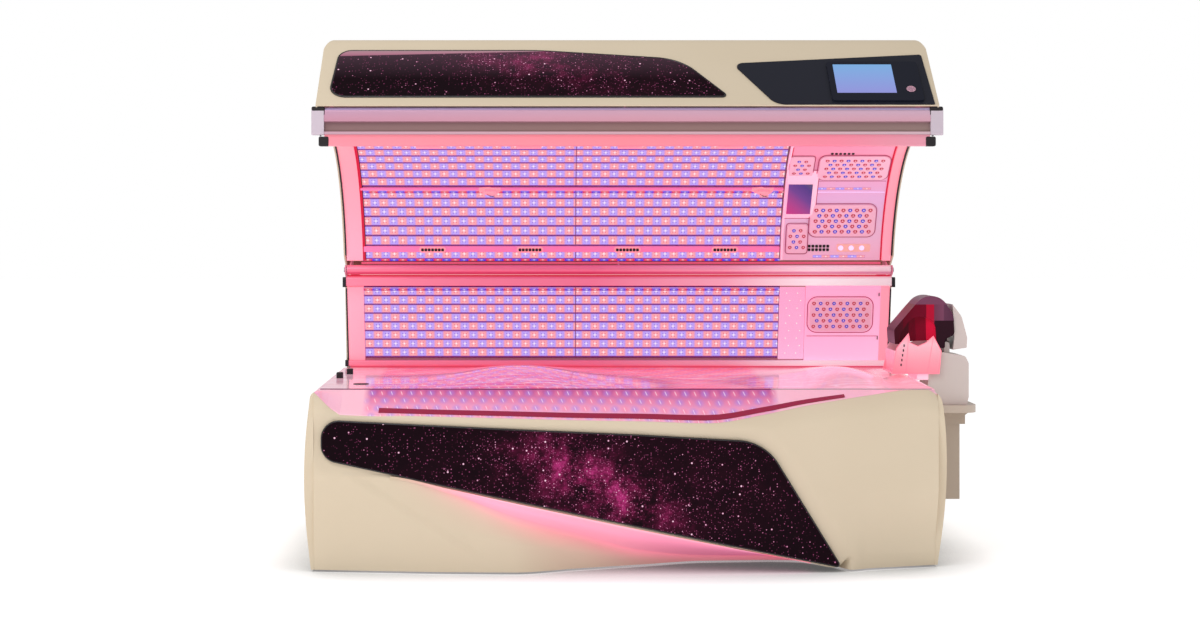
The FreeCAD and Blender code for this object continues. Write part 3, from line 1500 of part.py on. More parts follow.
def make_canopy_head():
    """Head-end panel with its lamp arrays, the inner display, the cheeks and the gaskets."""
    left = led_right + panel_gap
    panel = dome_panel("head", dome_radius - 4, dome_radius, left, head_right - left)
    subpart(on_canopy(group("canopy_head_panel", [panel])), "canopy_head_panel")
    arrays = []
    upper = (284, 150, 5, 9, 804, -2.5)
    lower = (270, 150, 5, 9, 792, 21.0)
    shoulder = (96, 130, 4, 3, 686, -3.0)
    elbow = (84, 130, 4, 3, 700, 28.0)
    for number, (width, height, rows, columns, x, angle) in enumerate((upper, lower, shoulder, elbow)):
        name = "array_%d" % number
        lamps = lamp_plate(name, width, height, array_corner / 2, rows, columns, lens_pitch, lens_radius)
        radius = dome_radius - 4 - panel_gap - 0.4 - as_size(height * height / 8) / dome_radius
        turn = as_size(angle)
        y = dome_y + radius * sine(turn) + height / 2 * cosine(turn)
        z = dome_z + radius * cosine(turn) - height / 2 * sine(turn)
        place(lamps, (x, y, z), X_AXIS, 90 - turn)
        arrays.append(lamps)
    subpart(on_canopy(group("canopy_face_arrays", arrays)), "canopy_face_arrays")
    angle = as_size(11.5)
    depth = 18
    height = as_size(150)
    seat = dome_radius - 4 - panel_gap - height * height / 8 / dome_radius
    display = dome_block("display_body", seat - depth, angle, (98, height, depth), 690)
    subpart(on_canopy(group("inner_display", [display])), "inner_display")
    inner = unit_half - rim_width - seal_width - panel_gap
    cheeks = []
    left_start = -inner
    left_width = inner - led_left - panel_gap
    right_start = head_right + panel_gap
    right_width = inner - right_start
    for name, start, width in (("left", left_start, left_width), ("right", right_start, right_width)):
        cheeks.append(dome_panel("cheek_" + name, dome_radius - 12, dome_radius + 14, start, width))
    subpart(on_canopy(group("canopy_cheeks", cheeks)), "canopy_cheeks")
    seals = []
    for sign in (-1, 1):
        edge = unit_half - rim_width - seal_width
        start = edge if sign > 0 else -edge - seal_width + panel_gap
        width = seal_width - panel_gap
        seals.append(
            dome_panel(
                "seal_%d" % sign, dome_radius - 18, dome_radius + 14, start, width, dome_rear - 2, dome_front
            )
        )
    subpart(on_canopy(group("canopy_seals", seals)), "canopy_seals")


# --- Lifts --------------------------------------------------------------------------------------


def lift_lean():
    """Lean of the lifts in the open pose, in degrees from the vertical."""
    turn = math.radians(open_angle.value)
    top_y = crank_y.value * math.cos(turn) + crank_z.value * math.sin(turn)
    top_z = -crank_y.value * math.sin(turn) + crank_z.value * math.cos(turn)
    run_y = lift_foot_y.value - top_y
    run_z = top_z - lift_foot_z.value
    return math.degrees(math.atan2(run_y, run_z)), math.hypot(run_y, run_z)


def make_lifts():
    """Electric lift cylinders and their rods, one pair at each end of the wall."""
    lean, span = lift_lean()
    foot = (0, hinge_y + lift_foot_y, hinge_z + lift_foot_z)
    cylinders = []
    rods = []
    for sign in (-1, 1):
        x = lift_x * sign
        name = "lift_%s" % ("right" if sign > 0 else "left")
        start = 14
        case = rod(name + "_case", lift_radius, lift_length, (x, 0, start), "z")
        eye = rod(name + "_eye", 12, 14, (x - 7, 0, 0))
        neck = box(name + "_neck", (12, 14, 20), (x - 6, -7, 0))
        bore = rod(name + "_bore", lift_rod + 0.4, lift_length, (x, 0, start + 30), "z")
        hole = rod(name + "_hole", lift_pin + hinge_play, 14, (x - 7, 0, 0))
        solid = joined(name + "_solid", [case, eye, neck])
        cylinders.append(cut(name + "_cylinder", solid, joined(name + "_cuts", [bore, hole])))
        reach = span - 60 - 14
        shaft = rod(name + "_shaft", lift_rod, reach, (x, 0, 60), "z")
        head = rod(name + "_head", lift_pin + lift_slack + 6, 14, (x - 7, 0, span))
        slack = rod(name + "_slack", lift_pin + lift_slack, 14, (x - 7, 0, span))
        rods.append(cut(name + "_rod", joined(name + "_rod_solid", [shaft, head]), slack))
    place(subpart(group("lift_cylinders", cylinders), "lift_cylinders"), foot, X_AXIS, lean)
    place(subpart(group("lift_rods", rods), "lift_rods"), foot, X_AXIS, lean)


# --- Head-end air nozzle ------------------------------------------------------------------------


def make_tower():
    """Carrier post on the base's end, tray, pedestal, lit cradle and the tilting nozzle hood."""
    end_face = base_half + end_bulge
    half = tower_post_width / 2
    post_top = tray_top - tray_wall
    post_size = (tower_post_width, tower_post_width, post_top - tower_foot)
    post = box("post", post_size, (tower_x, tower_y - half, tower_foot))
    collar = box("post_collar", (80, 80, 52), (tower_x, tower_y - 40, post_top - 52))
    gusset = plate(
        "post_gusset",
        "XZ_Plane",
        [(tower_x + 70, post_top), (tower_x + 112, post_top), (tower_x + 70, post_top - 30)],
        24,
        offset=-tower_y - 12,
    )
    pieces = [post, collar, gusset]
    for number, z in enumerate((tower_foot + 40, post_top - 130)):
        arm = box("post_arm_%d" % number, (tower_x - end_face - 2, 40, 40), (end_face + 3, tower_y - 20, z))
        foot = box("post_plate_%d" % number, (4, 90, 70), (end_face + 0.5, tower_y - 45, z - 15))
        pieces.append(arm)
        pieces.append(foot)
    subpart(joined("tower_post", pieces), "tower_post")
    tray = plate(
        "tower_tray",
        "XY_Plane",
        [
            (end_face + 14, tower_y - 130, 20),
            (end_face + 14, tower_y + 130, 20),
            (tower_x + 114, tower_y + 130, 60),
            (tower_x + 114, tower_y - 130, 60),
        ],
        tray_wall - panel_gap,
        offset=post_top + panel_gap,
    )
    subpart(tray, "tower_tray")
    make_nozzle()


def make_nozzle():
    floor = tray_top + panel_gap
    end_face = base_half + end_bulge
    pedestal = plate(
        "pedestal_solid",
        "XZ_Plane",
        [
            (end_face + 14, floor),
            (end_face + 14, bench_height + 60),
            (1250, 786, 12),
            (1358, 768, 16),
            (1371, 740, 10),
            (1371, 606),
            (1364, floor),
        ],
        180,
        offset=-tower_y - 90,
    )
    ears = []
    for number, y in enumerate((tower_y - 60, tower_y + 50)):
        ear = rod("pivot_ear_%d" % number, 11, 10, (nozzle_pivot_x, y, nozzle_pivot_z), "y")
        web = box("pivot_web_%d" % number, (22, 10, 50), (nozzle_pivot_x - 11, y, nozzle_pivot_z - 50))
        ears.append(ear)
        ears.append(web)
    pin = rod("pivot_pin", 5, 120, (nozzle_pivot_x, tower_y - 60, nozzle_pivot_z), "y")
    subpart(joined("nozzle_pedestal", [pedestal, pin] + ears), "nozzle_pedestal")
    make_cradle()
    make_hood()


cradle_front = driving("cradle_front", 110, "front of the lit cradle ahead of the nozzle's middle")
cradle_back = driving("cradle_back", 96, "back of the lit cradle behind the nozzle's middle")
hood_half = driving("hood_half", 84, "half the depth of the nozzle hood")
doc.recompute()


def make_cradle():
    """Lit translucent cradle: a front and a rear cheek with pointed horns, joined by a floor."""
    left = 1063
    horns = [
        (left, 700),
        (1082, 800),
        (1129, 859),
        (1134, 822),
        (1166, 808),
        (1198, 822),
        (1227, 848),
        (1258, 790),
        (1250, 700),
    ]
    pieces = []
    wall = 8
    for name, y in (("front", tower_y - cradle_front), ("rear", tower_y + cradle_back)):
        pieces.append(plate("cradle_" + name, "XZ_Plane", horns, wall, offset=-y - wall))
    reach = base_half + end_bulge + 14 - panel_gap - left - 2
    depth = cradle_front + cradle_back
    floor = box("cradle_floor", (reach, depth, wall), (left + 2, tower_y - cradle_front, 700))
    pieces.append(floor)
    pieces.append(box("cradle_end", (wall, depth, 90), (left + 10, tower_y - cradle_front, 700)))
    subpart(joined("nozzle_cradle", pieces), "nozzle_cradle")


def make_hood():
    """Arched nozzle hood over the cradle, and the white cover behind it, on one pivot."""
    depth = hood_half * 2
    arch = [
        (1080, 815),
        (1076, 872, 20),
        (1138, 945, 60),
        (1190, 1004, 70),
        (1262, 1007, 70),
        (1312, 930, 60),
        (1316, 852, 20),
        (1278, 834),
        (1278, 800, 6),
        (1246, 800, 6),
        (1240, 900, 40),
        (1160, 940, 60),
        (1104, 862, 20),
        (1098, 815),
    ]
    hood = plate("hood_arch", "XZ_Plane", arch, depth, offset=-tower_y - hood_half)
    slots = []
    for number in range(2):
        slots.append(box("hood_slot_%d" % number, (40, 34, 90), (1228, tower_y - 50 + number * 66, 960)))
    vented = cut("hood_vented", hood, group("hood_slots", slots))
    eye = rod("hood_eye", 15, 96, (nozzle_pivot_x, tower_y - 48, nozzle_pivot_z), "y")
    web = box("hood_web", (26, 96, 40), (nozzle_pivot_x - 22, tower_y - 48, nozzle_pivot_z))
    bore = rod("hood_bore", 5 + hinge_play, 300, (nozzle_pivot_x, tower_y - 150, nozzle_pivot_z), "y")
    solid = joined("hood_solid", [vented, eye, web])
    subpart(cut("nozzle_hood", solid, bore), "nozzle_hood")
    cover = [
        (1310.3, 972),
        (1346, 924, 60),
        (1368, 840, 20),
        (1366, 800),
        (1312, 792),
        (1317.1, 838),
    ]
    shroud = plate("nozzle_shroud", "XZ_Plane", cover, depth - 16, offset=-tower_y - hood_half + 8)
    subpart(shroud, "nozzle_shroud")


# --- Build --------------------------------------------------------------------------------------

make_base_frame()
make_levelling_feet()
make_front_skirt()
make_skirt_insert()
make_skirt_glow_panel()
make_end_panel("left_end_panel", -1, end_round_left, ((656, 666), (665, 560), 646))
make_end_panel("right_end_panel", 1, end_round_right, ((600, 651), (624, 575), 540))
make_base_rear_panel()
make_body_fan()
make_bench()
make_bench_front_flange()
make_entry_edge_strip()
make_led_drivers()
make_mains_gland()
make_wall_frame()
make_wall_shell()
make_wall_face()
make_wall_face_array()
make_wall_profiles()
make_wall_black_trim()
make_hinge_pin()
make_canopy_frame()
make_hinge_barrel()
make_canopy_shell()
make_fascia_panels()
make_grip_rail()
make_canopy_lamps()
make_air_outlets()
make_mist_nozzles()
make_canopy_head()
make_lifts()
make_tower()
doc.recompute()

bad = [item for item in doc.Objects if "Invalid" in item.State or "Error" in item.State]
for item in bad:
    print(item.Name, item.State)
if bad:
    raise ValueError("the document has %d broken objects" % len(bad))
for item in subparts:
    if item.Shape.isNull() or not item.Shape.isValid() or not item.Shape.Solids:
        raise ValueError(item.Label + " has no valid solid")

os.makedirs("parts", exist_ok=True)
for item in subparts:
    item.Shape.exportStep(os.path.join("parts", item.Label + ".step"))
    print("%-22s solids %2d  volume %.0f" % (item.Label, len(item.Shape.Solids), item.Shape.Volume))
print(len(subparts), "sub-parts")
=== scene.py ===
# %% [markdown]
# A clamshell tanning bed: a moulded base with a clear bench, a lit side wall, and a lamp canopy that
# hinges over the bench. The CAD parts arrive with the right shapes and sizes, so this script gives
# them their finishes, models the fine detail on top, and sets up a small white studio around them.

import bpy
import functools
import math
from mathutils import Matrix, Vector


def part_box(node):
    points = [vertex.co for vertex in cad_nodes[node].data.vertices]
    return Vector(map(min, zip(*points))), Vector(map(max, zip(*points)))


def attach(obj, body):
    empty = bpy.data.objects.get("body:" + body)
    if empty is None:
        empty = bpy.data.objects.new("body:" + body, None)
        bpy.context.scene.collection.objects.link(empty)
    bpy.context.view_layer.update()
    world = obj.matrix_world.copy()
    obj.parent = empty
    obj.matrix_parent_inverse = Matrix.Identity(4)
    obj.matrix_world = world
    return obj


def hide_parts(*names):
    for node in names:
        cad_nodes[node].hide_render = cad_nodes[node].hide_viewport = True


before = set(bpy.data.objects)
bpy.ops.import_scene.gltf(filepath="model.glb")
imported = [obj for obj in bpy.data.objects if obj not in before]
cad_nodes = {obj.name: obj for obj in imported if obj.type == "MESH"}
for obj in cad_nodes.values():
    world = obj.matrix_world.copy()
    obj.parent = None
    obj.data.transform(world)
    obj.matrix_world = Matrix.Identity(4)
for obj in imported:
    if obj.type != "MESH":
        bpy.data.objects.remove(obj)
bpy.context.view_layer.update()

# %% [markdown]
# Colours are easiest to pick as sRGB hex values, the way they look on a screen, but shaders add up
# light, so every colour is turned into linear numbers once, here. A node is added by one function:
# its settings are properties, plain socket values, or the outputs of other nodes, which get linked.


# %% Colour and shader helpers
def linear(hex_colour, alpha=1.0):
    """An sRGB hex value such as 'ddccb6' as linear red, green, blue and alpha."""
    parts = [int(hex_colour[i : i + 2], 16) / 255 for i in (0, 2, 4)]
    parts = [c / 12.92 if c <= 0.04045 else ((c + 0.055) / 1.055) ** 2.4 for c in parts]
    return (*parts, alpha)


BLACK = linear("000000")


def set_up(node, settings):
    """Set a node's properties and sockets; another node's output is linked to the socket."""
    for name, value in settings.items():
        if isinstance(value, bpy.types.NodeSocket):
            node.id_data.links.new(value, node.inputs[name])
        elif name == "stops":
            marks = node.color_ramp.elements
            for mark, (place, colour) in ((marks[0], value[0]), (marks[-1], value[-1])):
                mark.position = place
                mark.color = linear(colour)
            for place, colour in value[1:-1]:
                marks.new(place).color = linear(colour)
        elif isinstance(name, int) or name in node.inputs:
            node.inputs[name].default_value = linear(value) if isinstance(value, str) else value
        else:
            setattr(node, name, value)
    return node


def add_node(material, kind, settings=None, output=0):
    """Add one shader node with its settings and links, and return one of its outputs.

    The kind may name the node's mode, as in "Math MULTIPLY". A list fills the first sockets in order.
    """
    kind, *mode = kind.split()
    node = material.node_tree.nodes.new("ShaderNode" + kind)
    if mode:
        setattr(node, "data_type" if kind == "Mix" else "operation", mode[0])
    if isinstance(settings, list):
        settings = dict(enumerate(settings))
    return set_up(node, settings or {}).outputs[output]


def new_finish(name, settings):
    """A material, its Principled shader with settings, and add_node for this material."""
    material = bpy.data.materials.new(name)
    material.use_nodes = True
    shader = set_up(material.node_tree.nodes["Principled BSDF"], settings)
    return material, shader, functools.partial(add_node, material)


def even_finish(name, colour, roughness, glow=0.0, light=None, **more):
    """A finish without any pattern; light is the colour of its glow, where that differs."""
    settings = {"Base Color": colour, "Roughness": roughness, **more}
    if glow:
        settings.update({"Emission Color": light or colour, "Emission Strength": glow})
    return new_finish(name, settings)[0]


print("linear mid grey:", round(linear("808080")[0], 3))

# %% [markdown]
# ## The studio
# A product shot on white: a large pale floor, a soft even sky of light, and three softboxes, the
# largest one up in front. The camera stands low and far away with a long lens, so the bed's lines
# stay almost parallel. The floor shines a little by itself, so it reads white and keeps a soft
# contact shadow.

# %% Camera
scene = bpy.context.scene
scene.view_settings.view_transform = "Standard"
camera_data = bpy.data.cameras.new("studio_camera")
camera_data.lens = 58.1
camera_data.sensor_width = 36.0
camera_data.shift_x = 0.0383
camera_data.shift_y = -0.0717
camera = bpy.data.objects.new("studio_camera", camera_data)
camera.location = (-0.2705, -7.825, 1.275)
camera.rotation_euler = (math.radians(90), 0, 0)
scene.collection.objects.link(camera)
scene.camera = camera
print("camera:", tuple(round(v, 3) for v in camera.location), "lens", round(camera_data.lens, 1))

# %% [markdown]
# The sky gives even light from all round. It shows itself a little brighter than it lights, so the
# background is white while the bed keeps its shading. A real studio floor is a sheet of matt board.
# Here it is one large square: ambient occlusion takes back its own glow near the bed, which leaves a
# soft contact shadow.

# %% Sky and floor
FLOOR_REACH = 40
SKY_LIGHT, SKY_SEEN = 0.6, 1.0
studio_sky = bpy.data.worlds.new("studio_sky")
scene.world = studio_sky
studio_sky.use_nodes = True
sky = studio_sky.node_tree.nodes["Background"]
seen = add_node(studio_sky, "LightPath", {}, "Is Camera Ray")
strength = add_node(studio_sky, "MapRange", {"To Min": SKY_LIGHT, "To Max": SKY_SEEN, "Value": seen})
set_up(sky, {"Color": (1, 1, 1, 1), "Strength": strength})

floor_mesh = bpy.data.meshes.new("studio_floor")
floor_corners = [(x * FLOOR_REACH, y * FLOOR_REACH, 0) for x, y in ((-1, -1), (1, -1), (1, 1), (-1, 1))]
floor_mesh.from_pydata(floor_corners, [], [(0, 1, 2, 3)])
floor = bpy.data.objects.new("studio_floor", floor_mesh)
scene.collection.objects.link(floor)
floor_paint, paint, add = new_finish(
    "white_studio_floor",
    {"Roughness": 0.95, "Specular IOR Level": 0.0, "Emission Color": (1, 1, 1, 1)},
)
near = add("AmbientOcclusion", {"Distance": 0.3, "samples": 8, "Color": "f4f4f4"}).node
lifted = add("MapRange", {"From Min": 0.1, "To Min": 0.1, "To Max": 0.5, "Value": near.outputs["AO"]})
set_up(paint, {"Base Color": near.outputs["Color"], "Emission Strength": lifted})
floor_mesh.materials.append(floor_paint)
print("sky and floor:", studio_sky.name, floor.name)

# %% [markdown]
# Softboxes are large rectangular lamps. The big one stands in front on the left and shapes the covers.
# A weak one on either side puts a soft edge on the ends.


# %% Softboxes
def softbox(name, place, target, width, height, power):
    """A rectangular lamp at a place, turned to a target; sizes in metres, power in watts."""
    light = bpy.data.lights.new(name, "AREA")
    light.shape = "RECTANGLE"
    light.size = width
    light.size_y = height
    light.energy = power
    lamp = bpy.data.objects.new(name, light)
    lamp.location = place
    lamp.rotation_euler = (Vector(target) - Vector(place)).to_track_quat("-Z", "Y").to_euler()
    scene.collection.objects.link(lamp)


softbox("softbox_front", (-2.4, -4.2, 4.9), (-0.1, 0, 0.8), 3.2, 2.0, 90)
softbox("softbox_left", (-4.5, -2.0, 2.4), (0, 0, 0.9), 2.0, 2.5, 20)
softbox("softbox_right", (4.5, -2.5, 2.6), (0, 0, 0.9), 2.0, 2.5, 6)

# %% [markdown]
# ## Building pieces
# Every added piece is a mesh made from points and faces, rides on one of the bed's bodies, and hides the CAD
# parts that it stands for, if any. A seat is a place on the bed to build on: a point, the directions right,
# up and out of the surface there.


# %% Pieces and grids
def add_piece(name, body, finish, points, faces, replaces=(), slot=None, smooth=False, values=None):
    """Make a mesh piece that rides on a body; values are named numbers or (u, v), one a point."""
    mesh = bpy.data.meshes.new(name)
    mesh.from_pydata([tuple(point) for point in points], [], faces)
    for label, numbers in (values or {}).items():
        if isinstance(numbers[0], tuple):
            layer = mesh.uv_layers.new(name=label)
            for loop in mesh.loops:
                layer.data[loop.index].uv = numbers[loop.vertex_index]
        else:
            mesh.attributes.new(label, "FLOAT", "POINT").data.foreach_set("value", numbers)
    mesh.materials.append(finish)
    mesh.polygons.foreach_set("use_smooth", [smooth] * len(mesh.polygons))
    mesh.update()
    piece = bpy.data.objects.new(name, mesh)
    scene.collection.objects.link(piece)
    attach(piece, body)
    if replaces:
        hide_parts(*replaces)
    return piece


def grid_faces(rows, columns, closed=False):
    """Faces between the rows of a grid of points; closed joins the last column to the first."""
    faces = []
    for row in range(rows - 1):
        for column in range(columns if closed else columns - 1):
            after = (column + 1) % columns
            here, there = row * columns, (row + 1) * columns
            faces.append((here + column, here + after, there + after, there + column))
    return faces


print("faces of a grid of 3 by 4:", len(grid_faces(3, 4)))

# %% [markdown]
# Most trim on the bed is a thin moulding with rounded corners, clipped or glued on. Each is an outline
# raised to its height with a softened front edge. A bevel modifier would do it too, but it would be
# one more thing to apply, and its result depends on the outline's points.


# %% Outlines and slabs
def rounded(corners, steps=10):
    """A closed line through corners (across, up, radius), in order, with each corner rounded."""
    line = []
    count = len(corners)
    for index, corner in enumerate(corners):
        point = Vector(corner[:2])
        radius = corner[2] if len(corner) > 2 else 0
        back = (Vector(corners[index - 1][:2]) - point).normalized()
        ahead = (Vector(corners[(index + 1) % count][:2]) - point).normalized()
        if radius == 0:
            line.append(point)
            continue
        half = back.angle(ahead) / 2
        middle = point + (back + ahead).normalized() * (radius / math.sin(half))
        start = point + back * (radius / math.tan(half)) - middle
        end = point + ahead * (radius / math.tan(half)) - middle
        for step in range(steps + 1):
            line.append(middle + start.slerp(end, step / steps) * radius)
    return line


def rectangle(width, height, radius):
    """Corners of a rectangle about its middle, with one corner radius."""
    x, y = width / 2, height / 2
    return [(-x, -y, radius), (x, -y, radius), (x, y, radius), (-x, y, radius)]


def at(seat, across, up, out=0.0):
    """A point at distances right, up and out from a seat's own point."""
    place, right, rise, normal = seat
    return place + right * across + rise * up + normal * out


def slab(seat, line, low, high, edge=0.0015):
    """Points and faces of a plate with a softened front edge, from low to high above its seat."""
    count = len(line)
    middle = sum(line, Vector((0, 0))) / count
    rings = []
    for out, inset in ((low, 0.0), (high - edge, 0.0), (high - edge * 0.3, edge * 0.35), (high, edge)):
        ring = []
        for point in line:
            pull = (middle - point).normalized() * inset * 1.2
            ring.append(at(seat, *(point + pull), out))
        rings.append(ring)
    points = [point for ring in rings for point in ring]
    faces = grid_faces(len(rings), count, closed=True)
    faces.append(tuple(range(count))[::-1])
    faces.append(tuple(range(count * 3, count * 4)))
    return points, faces


def plate(seat, width, height, corner, depth, edge, steps=3, low=0):
    """Points and faces of a rectangular slab with rounded corners."""
    return slab(seat, rounded(rectangle(width, height, corner), steps), low, depth, edge)


def between(start, end, count):
    """Evenly spaced points on a straight line, from its start to the last one before its end."""
    return [start.lerp(end, step / count) for step in range(count)]


print("points of a rounded square:", len(rounded(rectangle(1, 1, 0.1))))

# %% [markdown]
# Seals, seams and frames are round beads that follow a line. A curve with a bevel would make the same
# shape, but points and faces keep every piece of one kind and let several join into one mesh.


# %% Beads and joined meshes
def merged(parts):
    """Join lists of (points, faces) into one."""
    points, faces = [], []
    for more_points, more_faces in parts:
        start = len(points)
        points.extend(more_points)
        faces.extend(tuple(index + start for index in face) for face in more_faces)
    return points, faces


def bead_line(path, radius, normal, closed=True, sides=8):
    """A round bead along a path; normal points out of the surface that it lies on."""
    points = []
    count = len(path)
    for index, point in enumerate(path):
        after = path[(index + 1) % count] if closed or index + 1 < count else point
        before = path[index - 1] if closed or index else point
        ahead = (after - before).normalized()
        side = ahead.cross(normal).normalized()
        for turn in range(sides):
            angle = turn * math.tau / sides
            points.append(point + side * (radius * math.cos(angle)) + normal * (radius * math.sin(angle)))
    faces = grid_faces(count, sides, closed=True)
    if closed:
        last = (count - 1) * sides
        for turn in range(sides):
            after = (turn + 1) % sides
            faces.append((last + turn, last + after, after, turn))
    return points, faces


short_path = [Vector((n, 0, 0)) for n in range(3)]
print("faces of a short bead:", len(bead_line(short_path, 0.1, Vector((0, 0, 1)))[1]))

# %% [markdown]
# ## Where things are
# The canopy arrives open by 40 degrees. Its lamps lie on a curve, so a place there is an angle and a
# distance from the curve's middle; the side wall leans back and its places are heights up its face.

# %% Seats on the canopy and the wall
HINGE = Vector((0, 0.270, 1.100))
OPEN = math.radians(40)


def opened(across, back, up):
    """A point of the closed canopy, measured from the hinge, carried to the open pose."""
    return HINGE + Vector(
        (across, back * math.cos(OPEN) + up * math.sin(OPEN), up * math.cos(OPEN) - back * math.sin(OPEN))
    )


def curve_seat(across, degrees, radius):
    """A seat on the canopy's lamp curve, facing the user."""
    turn = math.radians(degrees) + OPEN
    middle = opened(across, -0.420, -0.520)
    outward = Vector((0, math.sin(turn), math.cos(turn)))
    rise = Vector((0, -math.cos(turn), math.sin(turn)))
    return middle + outward * radius, Vector((1, 0, 0)), rise, -outward


WALL_LEAN = math.radians(14.25)


def wall_seat(across, up, depth=0.0):
    """A seat on the leaning side wall, at a height along its face."""
    rise = Vector((0, -math.sin(WALL_LEAN), math.cos(WALL_LEAN)))
    back = Vector((0, math.cos(WALL_LEAN), math.sin(WALL_LEAN)))
    return Vector((across, 0.375, 0.716)) + rise * up + back * depth, Vector((1, 0, 0)), rise, -back


FASCIA_RISE = Vector((0, 0.7466, 0.6652))
FASCIA_OUT = Vector((0, -0.6652, 0.7466))
FASCIA_FOOT = Vector((0, -0.6897, 1.7252))
fascia_seat = (FASCIA_FOOT, Vector((1, 0, 0)), FASCIA_RISE, FASCIA_OUT)
print("canopy curve middle:", [round(v, 3) for v in opened(0, -0.420, -0.520)])

# %% [markdown]
# ## Moulded covers
# The big covers are vacuum-formed ABS with a satin lacquer: an even warm cream with a very faint
# orange peel. Peel is about 2 mm across, too fine to show here, so it is drawn 6 mm across and low.
# Pink light from the lamps falls on the skirt's recess. Baking that from real lamps would be noisy,
# so the skirt mesh carries the amount of spill in an attribute, and the finish mixes it in.


# %% Satin cream ABS
def satin_abs(name, spill=None):
    """Warm cream lacquer; spill names a mesh attribute that tints it with lamp light."""
    finish, shader, add = new_finish(name, {"Roughness": 0.42, "IOR": 1.54, "Specular IOR Level": 0.32})
    place = add("TexCoord", {}, "Object")
    peel = add("TexNoise", {"Scale": 1000 / 6, "Detail": 1.0, "Vector": place})
    bump = add("Bump", {"Strength": 0.25, "Distance": 0.0002, "Height": peel})
    broad = add("TexNoise", {"Scale": 2.5, "Detail": 1.0, "Vector": place})
    colour = add("Mix RGBA", {0: broad, 6: "d6c5ab", 7: "ddcdb4"}, 2)
    if spill:
        amount = add("Attribute", {"attribute_name": spill}, "Fac")
        colour = add("Mix RGBA", {0: amount, 6: colour, 7: "f59ab0"}, 2)
        glow = add("Math MULTIPLY", [amount, 0.45])
        set_up(shader, {"Emission Color": "ff86a4", "Emission Strength": glow})
    set_up(shader, {"Base Color": colour, "Normal": bump})
    return finish


cream_abs = satin_abs("satin_cream_abs")
lit_cream_abs = satin_abs("satin_cream_abs_lit", spill="spill")

# %% [markdown]
# The skirt is one moulding whose front bows outwards. A soft dish runs round its dark insert, and
# under the insert the surface sweeps back into a recess that is lit pink from behind the insert's
# lower edge. The CAD skirt has the same stops joined by straight facets. Here each column of points
# runs through those stops on a smooth line, so the render shows a moulded surface.

# %% The skirt's stops, in millimetres
SKIRT_HALF = 1160
SKIRT_FOOT = 8
SKIRT_FRONT = 708
BOW_RADIUS = 11000
BOW_MIDDLE = -200
INSERT_CORNERS = [(-1130, 563, 64), (40, 512), (506, 484, 184), (792, 20, 8), (-1130, 421, 62)]
INSERT_RIM = 7
# At a place along the skirt: top, height and lean of its shoulder, then (depth, height) of the ledge
# under the insert, of the valley and of the low line, and the depth at the foot. None follows the insert.
SKIRT_STOPS = [
    (-1160, 666, 60, 10, (0, 360), (4, 340), (4, 170), 21),
    (-1060, 588, 36, 8, (0, 370), (3, 345), (2, 175), 17),
    (-870, 583, 27, 7, None, (6, 345), (3, 180), 10),
    (-650, 578, 32, 8, None, (24, 290), (2, 150), 2),
    (-420, 573, 36, 9, None, (48, 205), (4, 112), 2),
    (-180, 567, 40, 9, None, (110, 130), (92, 66), 92),
    (54, 563, 44, 10, None, (172, 58), (170, 32), 171),
    (300, 555, 48, 12, None, (244, 26), (245, 16), 245),
    (520, 588, 62, 18, None, (248, 24), (249, 16), 249),
    (660, 616, 72, 22, None, (228, 22), (229, 15), 229),
    (770, 634, 76, 24, None, (116, 20), (118, 14), 120),
    (835, 644, 78, 25, (10, 60), (12, 42), (13, 25), 14),
    (900, 653, 80, 26, (31, 60), (33, 42), (34, 25), 36),
    (1060, 672, 84, 27, (58, 60), (61, 42), (64, 25), 67),
    (1120, 672, 84, 27, (67, 60), (70, 42), (73, 25), 77),
    (1160, 651, 74, 24, (73, 60), (76, 42), (79, 25), 84),
]


print("stops:", len(SKIRT_STOPS))

# %% [markdown]
# Between two stops the surface has to stay smooth and never swing past either, or the cream would show
# waves. A cubic line whose slopes are set by the stops next to it does that. Below are also the bow of
# the whole front and the height of the insert's lower edge, which the ledge follows.


# %% Lines through the stops
def smooth(stops, x):
    """A smooth line through stops, each (place, value), that never swings past them."""
    steps = [(after[1] - stop[1]) / (after[0] - stop[0]) for stop, after in zip(stops, stops[1:])]
    slopes = [steps[0]]
    for before, after in zip(steps, steps[1:]):
        slopes.append(2 * before * after / (before + after) if before * after > 0 else 0)
    slopes.append(steps[-1])
    for index, (stop, after) in enumerate(zip(stops, stops[1:])):
        if x <= after[0]:
            break
    span = after[0] - stop[0]
    run = (x - stop[0]) / span
    rest = 1 - run
    start = rest**2 * ((1 + 2 * run) * stop[1] + run * span * slopes[index])
    return start + run**2 * ((1 + 2 * rest) * after[1] - rest * span * slopes[index + 1])


def insert_foot(x):
    """Height of the insert's straight lower edge."""
    (end, low), (start, high) = (corner[:2] for corner in INSERT_CORNERS[3:])
    return high + (x - start) / (end - start) * (low - high)


def skirt_stop(column, x, part=None):
    """One column of the stops at a place along the skirt; part picks its depth or its height."""
    stops = []
    for stop in SKIRT_STOPS:
        value = stop[column]
        if value is None:
            value = (0, insert_foot(stop[0]) - INSERT_RIM)
        stops.append((stop[0], value if part is None else value[part]))
    return smooth(stops, x)


def bow(x):
    """Depth of the bowed front at a place along the skirt."""
    return BOW_RADIUS - SKIRT_FRONT - math.sqrt(BOW_RADIUS**2 - (x - BOW_MIDDLE) ** 2)


print("bow at the ends, mm:", round(bow(-SKIRT_HALF), 1), round(bow(SKIRT_HALF), 1))

# %% [markdown]
# How deep the face lies at a point is the sum of three forms: the recess between the stops, a soft dish
# that follows the insert's outline at a distance, and a shallow sweep at the foot end.

# %% Depth of the skirt's face
insert_line = rounded(INSERT_CORNERS, steps=16)
insert_sides = []
for start, end in zip(insert_line, insert_line[1:] + insert_line[:1]):
    insert_sides.append((start.x, start.y, end.x - start.x, end.y - start.y))


